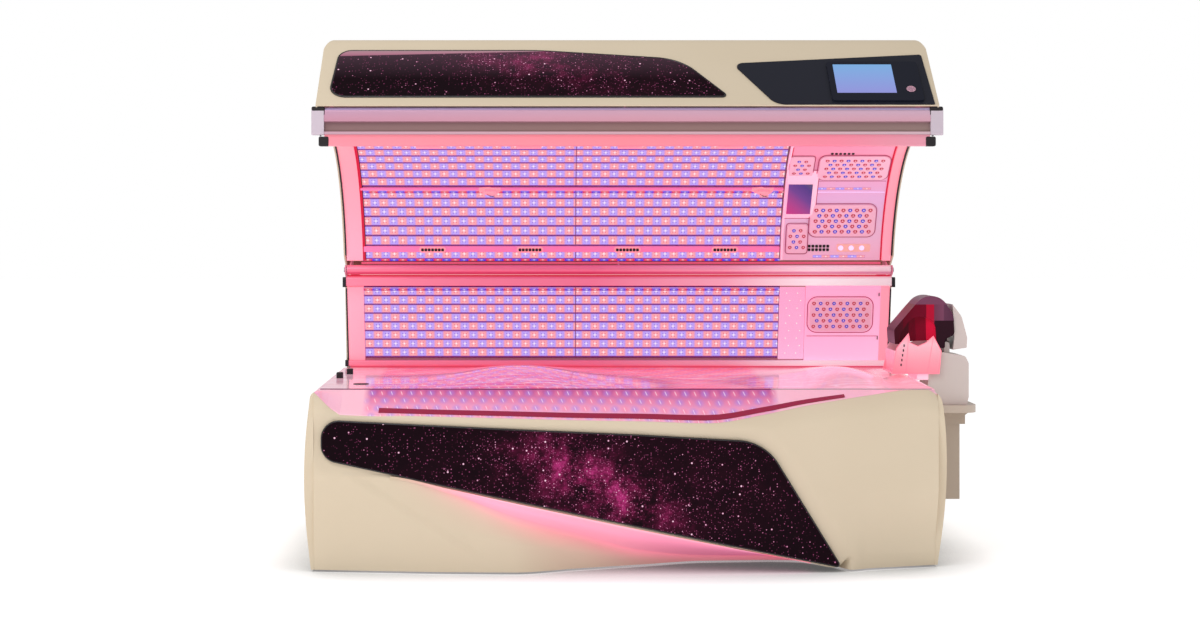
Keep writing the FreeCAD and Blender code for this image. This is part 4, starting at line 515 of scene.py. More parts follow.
def beside_insert(x, z):
    """Distance from a point to the insert's outline; below zero inside it."""
    nearest = 1e9
    inside = False
    for left, low, run, rise in insert_sides:
        share = ((x - left) * run + (z - low) * rise) / (run * run + rise * rise)
        share = max(0.0, min(1.0, share))
        nearest = min(nearest, (x - left - run * share) ** 2 + (z - low - rise * share) ** 2)
        if (low > z) != (low + rise > z) and x < left + (z - low) / rise * run:
            inside = not inside
    return -math.sqrt(nearest) if inside else math.sqrt(nearest)


def ease(value):
    """A soft step from 0 to 1."""
    value = max(0.0, min(1.0, value))
    return value * value * (3 - 2 * value)


DISH_DEPTH, DISH_WIDTH, BED_DEPTH = 13, 66, 14
RECESS_BLEND = 260
SWEEP_DEPTH, SWEEP_END, SWEEP_SLOPE = 6.5, -480, 0.62


def skirt_depth(x, z, low_line, away):
    """Depth of the face behind its bow: the dish round the insert, the recess and the sweep."""
    ledge = skirt_stop(4, x, 1)
    if z < ledge:
        depth = smooth(low_line, z)
    else:
        depth = skirt_stop(4, x, 0) * ease(1 - (z - ledge) / RECESS_BLEND)
    if z > ledge - 2 or x < -1050:
        depth += DISH_DEPTH * ease(1 - away / DISH_WIDTH) if away > 0 else BED_DEPTH
    if x < SWEEP_END:
        sweep = (x + 1150) * SWEEP_SLOPE + (z - 430)
        fade = ease((SWEEP_END - x) / 120) * ease((ledge - z + 20) / 40)
        depth += SWEEP_DEPTH * ease((sweep + 10) / 46) * fade
    return depth


def low_stops(x):
    """Stops (height, depth) of the recess at a place along the skirt, from the foot up."""
    return [(SKIRT_FOOT, skirt_stop(7, x))] + [(skirt_stop(k, x, 1), skirt_stop(k, x, 0)) for k in (6, 5, 4)]


print("insert outline points:", len(insert_line))

# %% [markdown]
# A sheet of ABS is drawn over one tool, so the skirt is one skin without a seam. It could be a few
# lofted patches, but those would crease where they meet. A grid has no seams: each column stands at
# its place along the bow, its rows crowd towards the shoulder, and the opening for the insert is left
# out. A folded edge closes the top, and a flange at each end runs back into the end cover.

# %% Model the skirt
columns, low_rows, high_rows = 291, 44, 52
SHOULDER_CROWDING = 1.35
END_FLANGE = 0.045
skirt_points, spill, aside = [], [], []
for column in range(columns):
    x = SKIRT_HALF * (2 * column / (columns - 1) - 1)
    top, shoulder, lean = (skirt_stop(index, x) for index in (1, 2, 3))
    low_line = low_stops(x)
    ledge, valley = skirt_stop(4, x, 1), skirt_stop(5, x, 1)
    heights = [SKIRT_FOOT + (ledge - SKIRT_FOOT) * row / low_rows for row in range(low_rows)]
    for row in range(high_rows + 1):
        heights.append(ledge + (top - ledge) * (1 - (1 - row / high_rows) ** SHOULDER_CROWDING))
    for z in heights:
        away = beside_insert(x, z)
        aside.append(away)
        depth = skirt_depth(x, z, low_line, away)
        if z > top - shoulder:
            depth += lean * ((z - top + shoulder) / shoulder) ** 2
        skirt_points.append(Vector((x, bow(x) + depth, z)) / 1000)
        reach = ease((x + 900) / 500) * ease((740 - x) / 60)
        near = math.exp(-max(valley - z, 0) / 26) if z < valley else ease((ledge - z) / 12)
        spill.append(0.75 * reach * near if z < ledge else 0.0)
rows = low_rows + high_rows + 1
faces = []
for face in grid_faces(columns, rows):
    if max(aside[index] for index in face) > -9:
        faces.append(face[::-1])
lip = [skirt_points[column * rows + rows - 1] for column in range(columns)]
under = [point + Vector((0, 0.006, -0.001)) for point in lip]
first = len(skirt_points)
skirt_points += under
spill += [0.0] * len(under)
for column in range(columns - 1):
    here = column * rows + rows - 1
    faces.append((here, here + rows, first + column + 1, first + column))
for end, outward in ((0, 1), (columns - 1, -1)):
    edge = [skirt_points[end * rows + row] for row in range(rows)]
    first = len(skirt_points)
    skirt_points += edge + [point + Vector((0, END_FLANGE, 0)) for point in edge]
    spill += [0.0] * (2 * rows)
    for row in range(rows - 1):
        here = first + row
        faces.append((here, here + 1, here + rows + 1, here + rows)[::outward])
skirt_mesh = (lit_cream_abs, skirt_points, faces, ("front_skirt",), "cream_moulding", True, {"spill": spill})
add_piece("moulded_skirt", "base", *skirt_mesh)
print("moulded_skirt faces:", len(faces))

# %% [markdown]
# The pink in the recess is the light of LEDs behind the insert's lower edge, falling on the cream from above.
# It is painted on a thin glowing strip that lies just in front of the skirt there, in the place of the CAD's
# glow panel. The painted light is brightest at the insert's edge, turns a hotter pink towards the tip, and
# fades out at its lower edge. Its mesh carries two numbers, how far down and how far along a point is, and
# the finish turns them into colour.


# %% Painted lamp light in the recess
def painted_recess_light():
    """Painted pink lamp light on the recess, coloured by the numbers down and along of its mesh."""
    finish, shader, add = new_finish("painted_recess_lamp_light", {"Roughness": 0.4, "IOR": 1.49})
    down = add("Attribute", {"attribute_name": "down"}, "Fac")
    along = add("Attribute", {"attribute_name": "along"}, "Fac")
    wash = [(0.0, "ffb6c6"), (0.12, "ff9db6"), (0.45, "ffa3c0"), (1.0, "f7a0b4")]
    hot = [(0.0, "ffb4cc"), (0.15, "ff92bd"), (0.5, "ff7fb4"), (1.0, "fb7cb0")]
    pale = add("ValToRGB", {"stops": wash, "Fac": down})
    strong = add("ValToRGB", {"stops": hot, "Fac": down})
    side = add("MapRange", {"From Min": 0.55, "From Max": 0.95, "Value": along})
    colour = add("Mix RGBA", {0: side, 6: pale, 7: strong}, 2)
    start = add("MapRange", {"From Max": 0.2, "Value": along})
    colour = add("Mix RGBA", {0: start, 6: "d7c5a8", 7: colour}, 2)
    fade = add("MapRange", {"To Min": 0.5, "To Max": 0.26, "Value": down})
    fade = add("Math MULTIPLY", [fade, start])
    set_up(shader, {"Base Color": colour, "Emission Color": colour, "Emission Strength": fade})
    return finish


points, down, along = [], [], []
places = 150
LIGHT_SHEET_START, LIGHT_SHEET_END, LIGHT_SHEET_LIFT = -875, 680, 2.0
FIRST_SHARE, SHARE_SPAN, SHARE_STEPS = 0.04, 0.9, 14
shares = [FIRST_SHARE + SHARE_SPAN * step / SHARE_STEPS for step in range(SHARE_STEPS + 1)]
for step in range(places):
    x = LIGHT_SHEET_START + (LIGHT_SHEET_END - LIGHT_SHEET_START) * step / (places - 1)
    ledge, valley = skirt_stop(4, x, 1), skirt_stop(5, x, 1)
    for share in shares:
        z = ledge + (valley - ledge) * share
        here = skirt_depth(x, z, low_stops(x), DISH_WIDTH) - LIGHT_SHEET_LIFT
        points.append(Vector((x, bow(x) + here, z - 0.8)) / 1000)
        down.append((share - FIRST_SHARE) / SHARE_SPAN)
        along.append(step / (places - 1))
faces = [face[::-1] for face in grid_faces(places, len(shares))]
replaced, numbers = ("skirt_glow_panel",), {"down": down, "along": along}
light_sheet_mesh = (painted_recess_light(), points, faces, replaced, "pink_diffuser", True, numbers)
add_piece("recess_light_sheet", "base", *light_sheet_mesh)
print("recess_light_sheet faces:", len(faces))

# %% [markdown]
# ## Dark inserts
# Both dark panels are clear acrylic, back-printed with a night sky of pink dust and stars. A scan of
# a real print would need an image, so the sky is made from noise: two clouds of dust, and three
# sizes of stars from cell patterns laid flat on the panel, denser where the dust is. Print dots are
# too fine to show, so the smallest star is drawn 2 mm across.


# %% Back-printed night sky
# For each size of star: spacing in metres, size in cells, share of cells left dark, brightness.
STAR_SIZES = ((0.0062, 0.36, 0.68, 0.8), (0.0135, 0.22, 0.66, 1.2), (0.06, 0.07, 0.5, 2.4))


def night_sky(name, origin, rise, clouds, painted_light_band=None):
    """Gloss panel; origin and rise place the print on it, clouds are (across, up, size, share), and the last
    argument paints a reflection over the print.
    """
    finish, shader, add = new_finish(name, {"Roughness": 0.16, "IOR": 1.49, "Specular IOR Level": 0.03})
    place = add("TexCoord", {}, "Object")
    local = add("VectorMath SUBTRACT", [place, origin])
    across = add("SeparateXYZ", {"Vector": local}, "X")
    up = add("VectorMath DOT_PRODUCT", [local, rise], "Value")
    flat = add("CombineXYZ", {"X": across, "Y": up})
    wispy = {"noise_dimensions": "2D", "Scale": 9.0, "Detail": 12.0, "Roughness": 0.78, "Vector": flat}
    wisps = add("TexNoise", wispy)
    dust = None
    for middle, height, size, share in clouds:
        away = add("VectorMath SUBTRACT", [flat, (middle, height, 0)])
        away = add("VectorMath MULTIPLY", [away, (1 / size, 1.9 / size, 0)])
        away = add("VectorMath LENGTH", [away], "Value")
        fading = {"From Min": 1.0, "From Max": 0.0, "To Max": share, "interpolation_type": "SMOOTHSTEP"}
        cloud = add("MapRange", {**fading, "Value": away})
        if dust is not None:
            cloud = add("Math ADD", [dust, cloud])
        dust = cloud
    veil = add("MapRange", {"From Min": 0.34, "From Max": 0.74, "Value": wisps})
    lit = add("Math MULTIPLY_ADD", {0: dust, 1: veil, 2: 0.0, "use_clamp": True})
    sky = [(0.0, "170810"), (0.2, "260a17"), (0.45, "4c102c"), (0.75, "7c1c4a"), (1.0, "b23074")]
    colour = add("ValToRGB", {"stops": sky, "Fac": lit})
    shine = None
    for spacing, dot, share, power in STAR_SIZES:
        cells = {"voronoi_dimensions": "2D", "Scale": 1 / spacing, "Vector": flat}
        near = add("TexVoronoi", cells, "Distance")
        tint = add("TexVoronoi", cells, "Color")
        luck = add("SeparateColor", {"Color": tint}, 0)
        often = add("Math MULTIPLY_ADD", [lit, -0.7, share + 0.2])
        kept = add("MapRange", {"From Min": often, "From Max": 1.05, "To Max": power, "Value": luck})
        point = add("MapRange", {"From Min": dot, "From Max": dot * 0.3, "Value": near})
        star = add("Math MULTIPLY", [point, kept])
        if shine is not None:
            star = add("Math MAXIMUM", [shine, star])
        shine = star
    glint = add("Math MINIMUM", [shine, 1.0])
    pinks = [(0.0, "9c2c64"), (0.55, "e272ac"), (1.0, "ffd6ea")]
    star_colour = add("ValToRGB", {"stops": pinks, "Fac": glint})
    colour = add("Mix RGBA", {0: glint, 6: colour, 7: star_colour}, 2)
    # Painted reflection: a pale band of reflected light along the top edge, and a grey sheen added higher up.
    if painted_light_band:
        start, end, height, thick, reflection_strength, reflection_height = painted_light_band
        taper = {"From Min": start, "From Max": end, "To Min": thick, "To Max": 0.0, "Value": across}
        thin = add("MapRange", taper)
        from_top = add("Math SUBTRACT", [height, up])
        edge = add("Math SUBTRACT", [thin, from_top])
        edge = add("MapRange", {"From Min": -0.0015, "From Max": 0.0015, "Value": edge})
        tone = add("MapRange", {"From Min": 0.0, "From Max": 0.04, "Value": from_top})
        rim = [(0.0, "b08d96"), (0.5, "b87f92"), (1.0, "a4667e")]
        rim = add("ValToRGB", {"stops": rim, "Fac": tone})
        rising = {"From Min": reflection_height, "From Max": reflection_height + 0.16, "To Max": reflection_strength, "Value": up}
        upper = add("MapRange", rising)
        colour = add("Mix RGBA", {"blend_type": "ADD", 0: upper, 6: colour, 7: "4c3844"}, 2)
        colour = add("Mix RGBA", {0: edge, 6: colour, 7: rim}, 2)
    set_up(shader, {"Base Color": BLACK, "Emission Color": colour, "Emission Strength": 0.95})
    return finish

# %% [markdown]
# The skirt's print has its dust along the insert's slanted lower edge. The canopy's has it in the middle.
# Over the canopy's print lies a painted reflection: a pale band of reflected light that thins out along its
# top edge, and a grey sheen that grows towards the top.

# %% Print both panels
skirt_sky = night_sky(
    "back_printed_acrylic_skirt",
    (0, 0, 0),
    (0, 0, 1),
    [
        (-0.27, 0.44, 0.3, 0.9), (-0.11, 0.32, 0.32, 1.0), (0.06, 0.21, 0.3, 0.8),
        (-0.2, 0.34, 0.9, 0.4), (0.4, 0.3, 0.5, 0.18),
    ],
)
canopy_sky = night_sky(
    "back_printed_acrylic_canopy",
    tuple(FASCIA_FOOT),
    tuple(FASCIA_RISE),
    [(-0.42, 0.30, 0.42, 0.8), (-0.2, 0.2, 0.5, 0.45), (0.0, 0.1, 0.4, 0.2)],
    # The painted reflection: the band's taper from and to, its top, its thickness, then the sheen's strength
    # and its start height.
    painted_light_band=(-1.086, -0.16, 0.336, 0.036, 0.8, 0.16),
)
print("night sky nodes:", len(skirt_sky.node_tree.nodes))

# %% [markdown]
# A thin gloss black bead seals each insert in its opening. It catches a fine line of light, which does more
# for the panel's edge than its size suggests. On the canopy a thinner pale bead just inside it is a painted
# highlight, the line of light on the panel's rim drawn in a fixed colour.

# %% Seal beads round the inserts, and a painted highlight line
bead_black = even_finish("gloss_black_epdm", "120b10", 0.16, **{"Specular IOR Level": 0.6})
BEAD_RADIUS, BEAD_DEPTH, BEAD_STEP = 0.0036, 4.0, 0.06
TOWARDS_FRONT = Vector((0, -1, 0))
corner_points = rounded(INSERT_CORNERS, steps=20)
path = [Vector((corner.x, bow(corner.x) + BEAD_DEPTH, corner.y)) / 1000 for corner in corner_points]
long_path = []
for start, end in zip(path, path[1:] + path[:1]):
    long_path += between(start, end, max(1, int((end - start).length / BEAD_STEP)))
for point in long_path:
    point.y = (bow(point.x * 1000) + BEAD_DEPTH) / 1000
skirt_bead = bead_line(long_path, BEAD_RADIUS, TOWARDS_FRONT)
add_piece("skirt_insert_bead", "base", bead_black, *skirt_bead, smooth=True)

CANOPY_INSERT = [
    (-1.106, 0.052, 0.060), (-1.086, 0.336, 0.052), (-0.330, 0.336, 1.2), (0.205, 0.282, 0.2),
    (0.376, 0.052, 0.012),
]
# A pale bead just inside the canopy's black one: a painted highlight line.
RIM_HIGHLIGHT_CORNERS = [
    (-1.099, 0.059, 0.054), (-1.079, 0.329, 0.046), (-0.330, 0.329, 1.2), (0.202, 0.276, 0.19),
    (0.362, 0.059, 0.010),
]
rim_highlight = even_finish("painted_rim_highlight", "a98e98", 0.3)
for name, finish, corners, out, radius, sides in (
    ("canopy_insert_bead", bead_black, CANOPY_INSERT, 0.0016, 0.0040, 8),
    ("canopy_insert_rim_highlight", rim_highlight, RIM_HIGHLIGHT_CORNERS, 0.0014, 0.0008, 6),
):
    path = [at(fascia_seat, point.x, point.y, out) for point in rounded(corners, steps=20)[::-1]]
    add_piece(name, "canopy", finish, *bead_line(path, radius, FASCIA_OUT, sides=sides), smooth=True)
print("beads:", len(long_path), len(path))

# %% [markdown]
# ## LED rows
# The lamps are long boards carrying one LED every 37 mm, red and blue in turn, and each row starts
# with the other colour. Each row is a shallow lit tray whose UV runs one unit per LED, and the
# finish draws the cells from that: two soft colours, a white core, small dark leads and a scatter of
# tiny bright facets. The dark line between rows is the joint of the trays.

# %% LED board finishes
LED_PITCH = 0.0367
BOARD_ENDS = ((-1.070, -0.1815), (-0.1785, 0.676))


def led_board(name, warm, cool, warm_lead, cool_lead, joint, core_size=0.1, glow=1.0):
    """Lit board: warm and cool cells in turn, with cores and leads; joint is the tray's edge colour."""
    finish, shader, add = new_finish(name, {"Base Color": BLACK, "Roughness": 0.5, "Specular IOR Level": 0.1})
    cell = add("UVMap", {"uv_map": "cells"})
    axes = add("SeparateXYZ", {"Vector": cell}).node
    along, across = axes.outputs["X"], axes.outputs["Y"]
    swing = add("Math MULTIPLY", [along, math.pi])
    swing = add("Math SINE", [swing])
    share = add("Math MULTIPLY_ADD", {0: swing, 1: 1.5, 2: 0.5, "use_clamp": True})
    run = add("Math FRACT", [along])
    run = add("Math SUBTRACT", [run, 0.5])
    rise = add("Math SUBTRACT", [across, 0.5])
    reach = add("CombineXYZ", {"X": run, "Y": rise})
    reach = add("VectorMath LENGTH", [reach], "Value")
    colour = add("Mix RGBA", {0: share, 6: warm, 7: cool}, 2)
    halo = add("MapRange", {"From Min": 0.42, "From Max": 0.05, "To Max": 0.42, "Value": reach})
    colour = add("Mix RGBA", {0: halo, 6: colour, 7: "ffe6f4"}, 2)
    ring = add("Math COMPARE", [reach, 0.24, 0.045])
    turn = add("Math ARCTAN2", [rise, run])
    turn = add("Math MULTIPLY", [turn, 4.0])
    turn = add("Math COSINE", [turn])
    turn = add("Math LESS_THAN", [turn, -0.35])
    leads = add("Math MULTIPLY", [ring, turn])
    leads = add("Math MULTIPLY", [leads, 0.8])
    lead_colour = add("Mix RGBA", {0: share, 6: warm_lead, 7: cool_lead}, 2)
    colour = add("Mix RGBA", {0: leads, 6: colour, 7: lead_colour}, 2)
    core = add("MapRange", {"From Min": core_size * 1.25, "From Max": core_size * 0.5, "Value": reach})
    colour = add("Mix RGBA", {0: core, 6: colour, 7: "fffafd"}, 2)
    spots = add("TexVoronoi", {"voronoi_dimensions": "2D", "Scale": 9.0, "Vector": cell}, "Distance")
    spots = add("MapRange", {"From Min": 0.16, "From Max": 0.05, "To Max": 0.5, "Value": spots})
    colour = add("Mix RGBA", {0: spots, 6: colour, 7: "fff0fa"}, 2)
    rim = add("Math ABSOLUTE", [rise])
    rim = add("MapRange", {"From Min": 0.40, "From Max": 0.47, "Value": rim})
    colour = add("Mix RGBA", {0: rim, 6: colour, 7: joint}, 2)
    set_up(shader, {"Emission Color": colour, "Emission Strength": glow})
    return finish


face_board = led_board("lit_led_board", "ff9ea6", "b59cff", "e8305e", "4d3ae0", "7c1fa0")
# Painted reflection of the lamps in the reflector: the same cells in deeper colours.
mirror_board = led_board("led_mirror_line", "f01044", "3c18e6", "b01040", "2a12b0", "8a1468", glow=0.95)
print("board nodes:", len(face_board.node_tree.nodes))

# %% [markdown]
# A tray is a bent strip of white aluminium: a flat floor with two low edges. Each tray could be a CAD
# solid with its lamps on it, hundreds of tiny boxes in all. Here it is three narrow faces whose UV
# counts the lamps, which the finish turns into cells.


# %% LED trays
def led_rows(name, body, node, rows, width, finish, ends=BOARD_ENDS, lip=0.0025):
    """Shallow lit trays. Each row is (middle, across, inward, first colour)."""
    points, faces, cells = [], [], []
    for middle, across, inward, first in rows:
        for start, end in ends:
            corner = len(points)
            for x in (start, end):
                for share, height in ((-0.5, lip), (-0.46, 0.0), (0.46, 0.0), (0.5, lip)):
                    point = middle + across * (share * width) + inward * height
                    points.append((x, point.y, point.z))
                    cells.append(((x - ends[0][0]) / LED_PITCH + first, share + 0.5))
            for index in range(3):
                faces.append((corner + index, corner + 4 + index, corner + 5 + index, corner + 1 + index))
    piece = add_piece(
        name, body, finish, points, faces, (node,) if node else (), "led_board", values={"cells": cells}
    )
    print(name, "rows:", len(rows))
    return piece

# %% [markdown]
# On the canopy the rows follow its curve, on the wall they climb the leaning face, and on the bench they lie
# flat. Gaps are left where the service bars sit. Beside a bar, a thin lit strip in deeper reds and blues is a
# painted reflection of the lamps in the reflector.

# %% Canopy, wall and bench rows
CANOPY_BLOCKS = ((34.6, 1), (29.95, 6), (7.65, 19))
CANOPY_PITCH, WALL_PITCH = 3.45, 0.0385
BENCH_COUNT, BENCH_MARGIN = 20, 0.016
canopy_rows, mirror_rows = [], []
for first, count in CANOPY_BLOCKS:
    for number in range(count):
        middle, _, rise, inward = curve_seat(0, first - CANOPY_PITCH * number, 0.7325)
        canopy_rows.append((middle, -rise, inward, len(canopy_rows) % 2))
led_rows("canopy_led_rows", "canopy", "canopy_led_strips", canopy_rows, 0.0415, face_board)
for degrees, first in ((36.1, 1), (10.35, 0)):
    middle, _, rise, inward = curve_seat(0, degrees, 0.7065)
    mirror_rows.append((middle, -rise, inward, first))
led_rows("canopy_mirror_lines", "canopy", None, mirror_rows, 0.011, mirror_board, lip=0.0005)

wall_rows = []
for number in range(8):
    middle, _, rise, out = wall_seat(0, 0.161 + WALL_PITCH * (number - 3.5), 0.0258)
    wall_rows.append((middle, rise, out, number % 2))
led_rows("wall_led_rows", "base", "wall_led_strips", wall_rows, 0.0365, face_board)
middle, _, rise, out = wall_seat(0, 0.3085, 0.006)
led_rows("wall_mirror_line", "base", None, [(middle, rise, out, 1)], 0.010, mirror_board, lip=0.0005)

low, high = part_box("bench_led_strips")
bench_rows = []
for number in range(BENCH_COUNT):
    y = low.y + BENCH_MARGIN + (high.y - low.y - 2 * BENCH_MARGIN) / (BENCH_COUNT - 1) * number
    bench_rows.append((Vector((0, y, low.z + 0.0002)), Vector((0, 1, 0)), Vector((0, 0, 1)), number % 2))
bench_ends = ((-1.07, -0.003), (0.003, 1.07))
led_rows("bench_led_rows", "base", "bench_led_strips", bench_rows, 0.036, face_board, ends=bench_ends)

# %% [markdown]
# ## The head end
# Beside the LED field both faces carry a pale pink panel with lamp arrays: rounded plates with small
# lenses, red and blue in turn, each over a few coloured chips. They replace the plainer CAD plates
# in the same places. The small vents, lights and trims around them are too fine for the CAD and are
# added here.

# %% Plastics of the head end
def plain(name, colour, roughness=0.4, metallic=0.0, glow=0.0, specular=0.4):
    """A moulded or painted finish: one colour, with a fine grain in its gloss; glow paints light on it."""
    finish, shader, add = new_finish(name, {"Metallic": metallic, "Specular IOR Level": specular})
    place = add("TexCoord", {}, "Object")
    fine = add("TexNoise", {"Scale": 240.0, "Detail": 1.0, "Vector": place})
    gloss = {"To Min": roughness * 0.85, "To Max": roughness * 1.15, "Value": fine}
    set_up(shader, {"Base Color": colour, "Roughness": add("MapRange", gloss)})
    if glow:
        set_up(shader, {"Emission Color": colour, "Emission Strength": glow})
    return finish


def lit_panel(name, stops, axis, span, glow, gloss=0.25):
    """Edge-lit acrylic: a soft run of pinks along one axis."""
    finish, shader, add = new_finish(name, {"Roughness": gloss, "IOR": 1.49, "Specular IOR Level": 0.3})
    place = add("TexCoord", {}, "Object")
    axes = add("SeparateXYZ", {"Vector": place}).node
    run = add("MapRange", {"From Min": span[0], "From Max": span[1], "Value": axes.outputs[axis]})
    cloud = add("TexNoise", {"Scale": 3.0, "Detail": 1.0, "Vector": place})
    run = add("Math MULTIPLY_ADD", [cloud, 0.16, run])
    run = add("Math SUBTRACT", {0: run, 1: 0.08, "use_clamp": True})
    colour = add("ValToRGB", {"stops": stops, "Fac": run})
    set_up(shader, {"Base Color": colour, "Emission Color": colour, "Emission Strength": glow})
    return finish


wall_panel = lit_panel(
    "pink_wall_acrylic", [(0.0, "f6c8e6"), (0.4, "fabcdc"), (1.0, "fbb0d2")], "Z", (0.73, 1.02), 0.36
)
# The plates' glow is painted lamp light.
array_plate = even_finish("pearl_pink_pmma", "efbccf", 0.22, 0.18, "f4b0c8", IOR=1.49)


def lens_finish(name, rim, chips, heart):
    """Clear lens over coloured chips: three lobes of colour round a bright heart."""
    finish, shader, add = new_finish(name, {"Roughness": 0.12, "IOR": 1.49})
    spot = add("UVMap", {"uv_map": "lens"})
    axes = add("SeparateXYZ", {"Vector": spot}).node
    reach = add("VectorMath LENGTH", [spot], "Value")
    turn = add("Math ARCTAN2", [axes.outputs["Y"], axes.outputs["X"]])
    lobes = add("Math MULTIPLY", [turn, 3.0])
    lobes = add("Math SINE", [lobes])
    lobes = add("MapRange", {"From Min": -0.7, "From Max": -0.1, "Value": lobes})
    colour = add("Mix RGBA", {0: lobes, 6: rim, 7: chips}, 2)
    core = add("MapRange", {"From Min": 0.42, "From Max": 0.12, "Value": reach})
    colour = add("Mix RGBA", {0: core, 6: colour, 7: heart}, 2)
    edge = add("MapRange", {"From Min": 0.78, "From Max": 0.98, "Value": reach})
    colour = add("Mix RGBA", {0: edge, 6: colour, 7: "f9b8c8"}, 2)
    set_up(shader, {"Base Color": colour, "Emission Color": colour, "Emission Strength": 0.15})
    return finish


red_lens = lens_finish("red_chip_lens", "e07088", "b00a2c", "ffd0d8")
blue_lens = lens_finish("blue_chip_lens", "8074e4", "2420c8", "f0ecff")
print("lens finishes:", red_lens.name, blue_lens.name)

# %% [markdown]
# The arrays are plates of pearl acrylic with small clear lenses in staggered rows. A real lens is a
# moulded dome. Here each is a low dome of three rings, and its UV tells the finish how far from the
# lens's middle a point is.


# %% Lamp arrays
def lenses(seat, spots, radius, low, high):
    """Shallow domes at spots on a seat, with a UV that runs from -1 to 1 across each lens."""
    points, faces, cells = [], [], []
    sides = 14
    for across, up in spots:
        first = len(points)
        for share, height in ((1.0, low), (1.0, low + (high - low) * 0.45), (0.6, low + (high - low) * 0.86)):
            for turn in range(sides):
                angle = turn * math.tau / sides
                x, y = math.cos(angle) * share, math.sin(angle) * share
                points.append(at(seat, across + x * radius, up + y * radius, height))
                cells.append((x, y))
        points.append(at(seat, across, up, high))
        cells.append((0.0, 0.0))
        faces += [tuple(first + index for index in face) for face in grid_faces(3, sides, closed=True)]
        top_ring, peak = first + 2 * sides, first + 3 * sides
        for turn in range(sides):
            faces.append((top_ring + turn, top_ring + (turn + 1) % sides, peak))
    return points, faces, cells


def array_spots(rows, columns, pitch=0.028):
    """Places of the lenses on a plate, in staggered rows, with the number of each."""
    spots = []
    for row in range(rows):
        shift = pitch / 2 if row % 2 else 0
        for column in range(columns - row % 2):
            across = -pitch * (columns - 1) / 2 + shift + pitch * column
            up = -pitch * 0.9 * (rows - 1) / 2 + pitch * 0.9 * row
            spots.append((across, up, row + column))
    return spots


print("lenses on a large array:", len(array_spots(5, 9)))

# %% [markdown]
# Four arrays sit on the canopy's head panel and one on the wall's. The panel is curved and the plates
# are flat, so each plate is sunk until its edges lie on the curve.


# %% Place the arrays
def lamp_arrays(name, body, node, plates):
    """Rounded plates with their lenses; plates are (seat, width, height, corner, rows, columns, radius)."""
    shells, reds, blues = [], [], []
    for seat, width, height, corner, rows, columns, radius in plates:
        shells.append(plate(seat, width, height, corner, 0.006, 0.002, 8, low=0.0002))
        spots = array_spots(rows, columns)
        for group, odd in ((reds, 0), (blues, 1)):
            chosen = [(across, up) for across, up, number in spots if number % 2 == odd]
            group.append(lenses(seat, chosen, radius, 0.0055, 0.0085))
    add_piece(name + "_plates", body, array_plate, *merged(shells), (node,), "lamp_plate")
    for label, finish, groups in (("red", red_lens, reds), ("blue", blue_lens, blues)):
        points, faces = merged([group[:2] for group in groups])
        cells = [cell for group in groups for cell in group[2]]
        part = "%s_%s_lenses" % (name, label)
        add_piece(part, body, finish, points, faces, (node,), "lamp_plate", True, {"lens": cells})
    print(name, "lenses:", sum(len(group[1]) // 56 for group in reds + blues))


PANEL_RADIUS = 0.696


def plate_seat(across, degrees, height):
    """A seat for a flat plate on the curved head panel, sunk so that its edges stay down."""
    return curve_seat(across, degrees, PANEL_RADIUS - 0.0008 - height * height / 8 / 0.7)


lamp_arrays(
    "canopy_array",
    "canopy",
    "canopy_face_arrays",
    [
        (plate_seat(0.946, -2.5, 0.150), 0.284, 0.150, 0.030, 5, 9, 0.0092),
        (plate_seat(0.927, 21.0, 0.150), 0.270, 0.150, 0.030, 5, 9, 0.0098),
        (plate_seat(0.734, -3.0, 0.130), 0.096, 0.130, 0.012, 4, 3, 0.0085),
        (plate_seat(0.742, 28.0, 0.130), 0.084, 0.130, 0.012, 4, 3, 0.0085),
    ],
)
wall_plate = wall_seat(0.800 + 0.133, 0.128 + 0.073, -0.0004)
lamp_arrays(
    "wall_array", "base", "wall_face_array", [(wall_plate, 0.266, 0.146, 0.036, 5, 9, 0.0088)]
)

# %% [markdown]
# The head panel holds small punched outlets, three opal lamps on a peach plate, and two short LED strips.
# They are a few millimetres deep, so each is a thin plate with softened edges that stands on the panel
# instead of a hole in it. The outlets are black plates of painted shade, for the dark inside of their holes,
# and the peach plate glows faintly with painted lamp light.

# %% Small fittings of the canopy's head end
# Black for black parts, and as painted shade for the dark inside of small holes; the peach plate's glow is
# painted lamp light.
black_and_hole_shade = even_finish("black_and_hole_shade", "160408", 0.6)
pale_light = even_finish("opal_lamp", "e6d4f4", 0.3, 0.6, "dcc6ff")
peach_plate = even_finish("peach_abs", "f7b9ae", 0.4, 0.2, "f7b0a6")
ports, lights = [], []
for number in range(6):
    seat = curve_seat(0.8485 + 0.0168 * number, -9.9, PANEL_RADIUS)
    ports.append(plate(seat, 0.0105, 0.012, 0.002, 0.002, 0.0005))
    for degrees in (30.9, 32.2):
        seat = curve_seat(0.796 + 0.0155 * number, degrees, PANEL_RADIUS)
        ports.append(plate(seat, 0.0115, 0.0115, 0.003, 0.0035, 0.0005))
for x in (0.9276, 0.9713, 1.0151):
    lights.append(plate(curve_seat(x, 31.5, 0.6935), 0.021, 0.021, 0.0104, 0.0045, 0.002, 6))
vent_plate = plate(curve_seat(0.981, 31.5, PANEL_RADIUS), 0.140, 0.034, 0.006, 0.0028, 0.001, 6)
add_piece("canopy_head_ports", "canopy", black_and_hole_shade, *merged(ports))
add_piece("canopy_head_lights", "canopy", pale_light, *merged(lights))
add_piece("canopy_vent_plate", "canopy", peach_plate, *vent_plate)
strip_rows = []
for degrees in (8.0, 34.6):
    middle, _, rise, inward = curve_seat(0, degrees, 0.6945)
    strip_rows.append((middle, rise, inward, 0))
head_ends = ((0.812, 1.032),)
led_rows("canopy_head_strips", "canopy", None, strip_rows, 0.011, face_board, ends=head_ends, lip=0.0002)

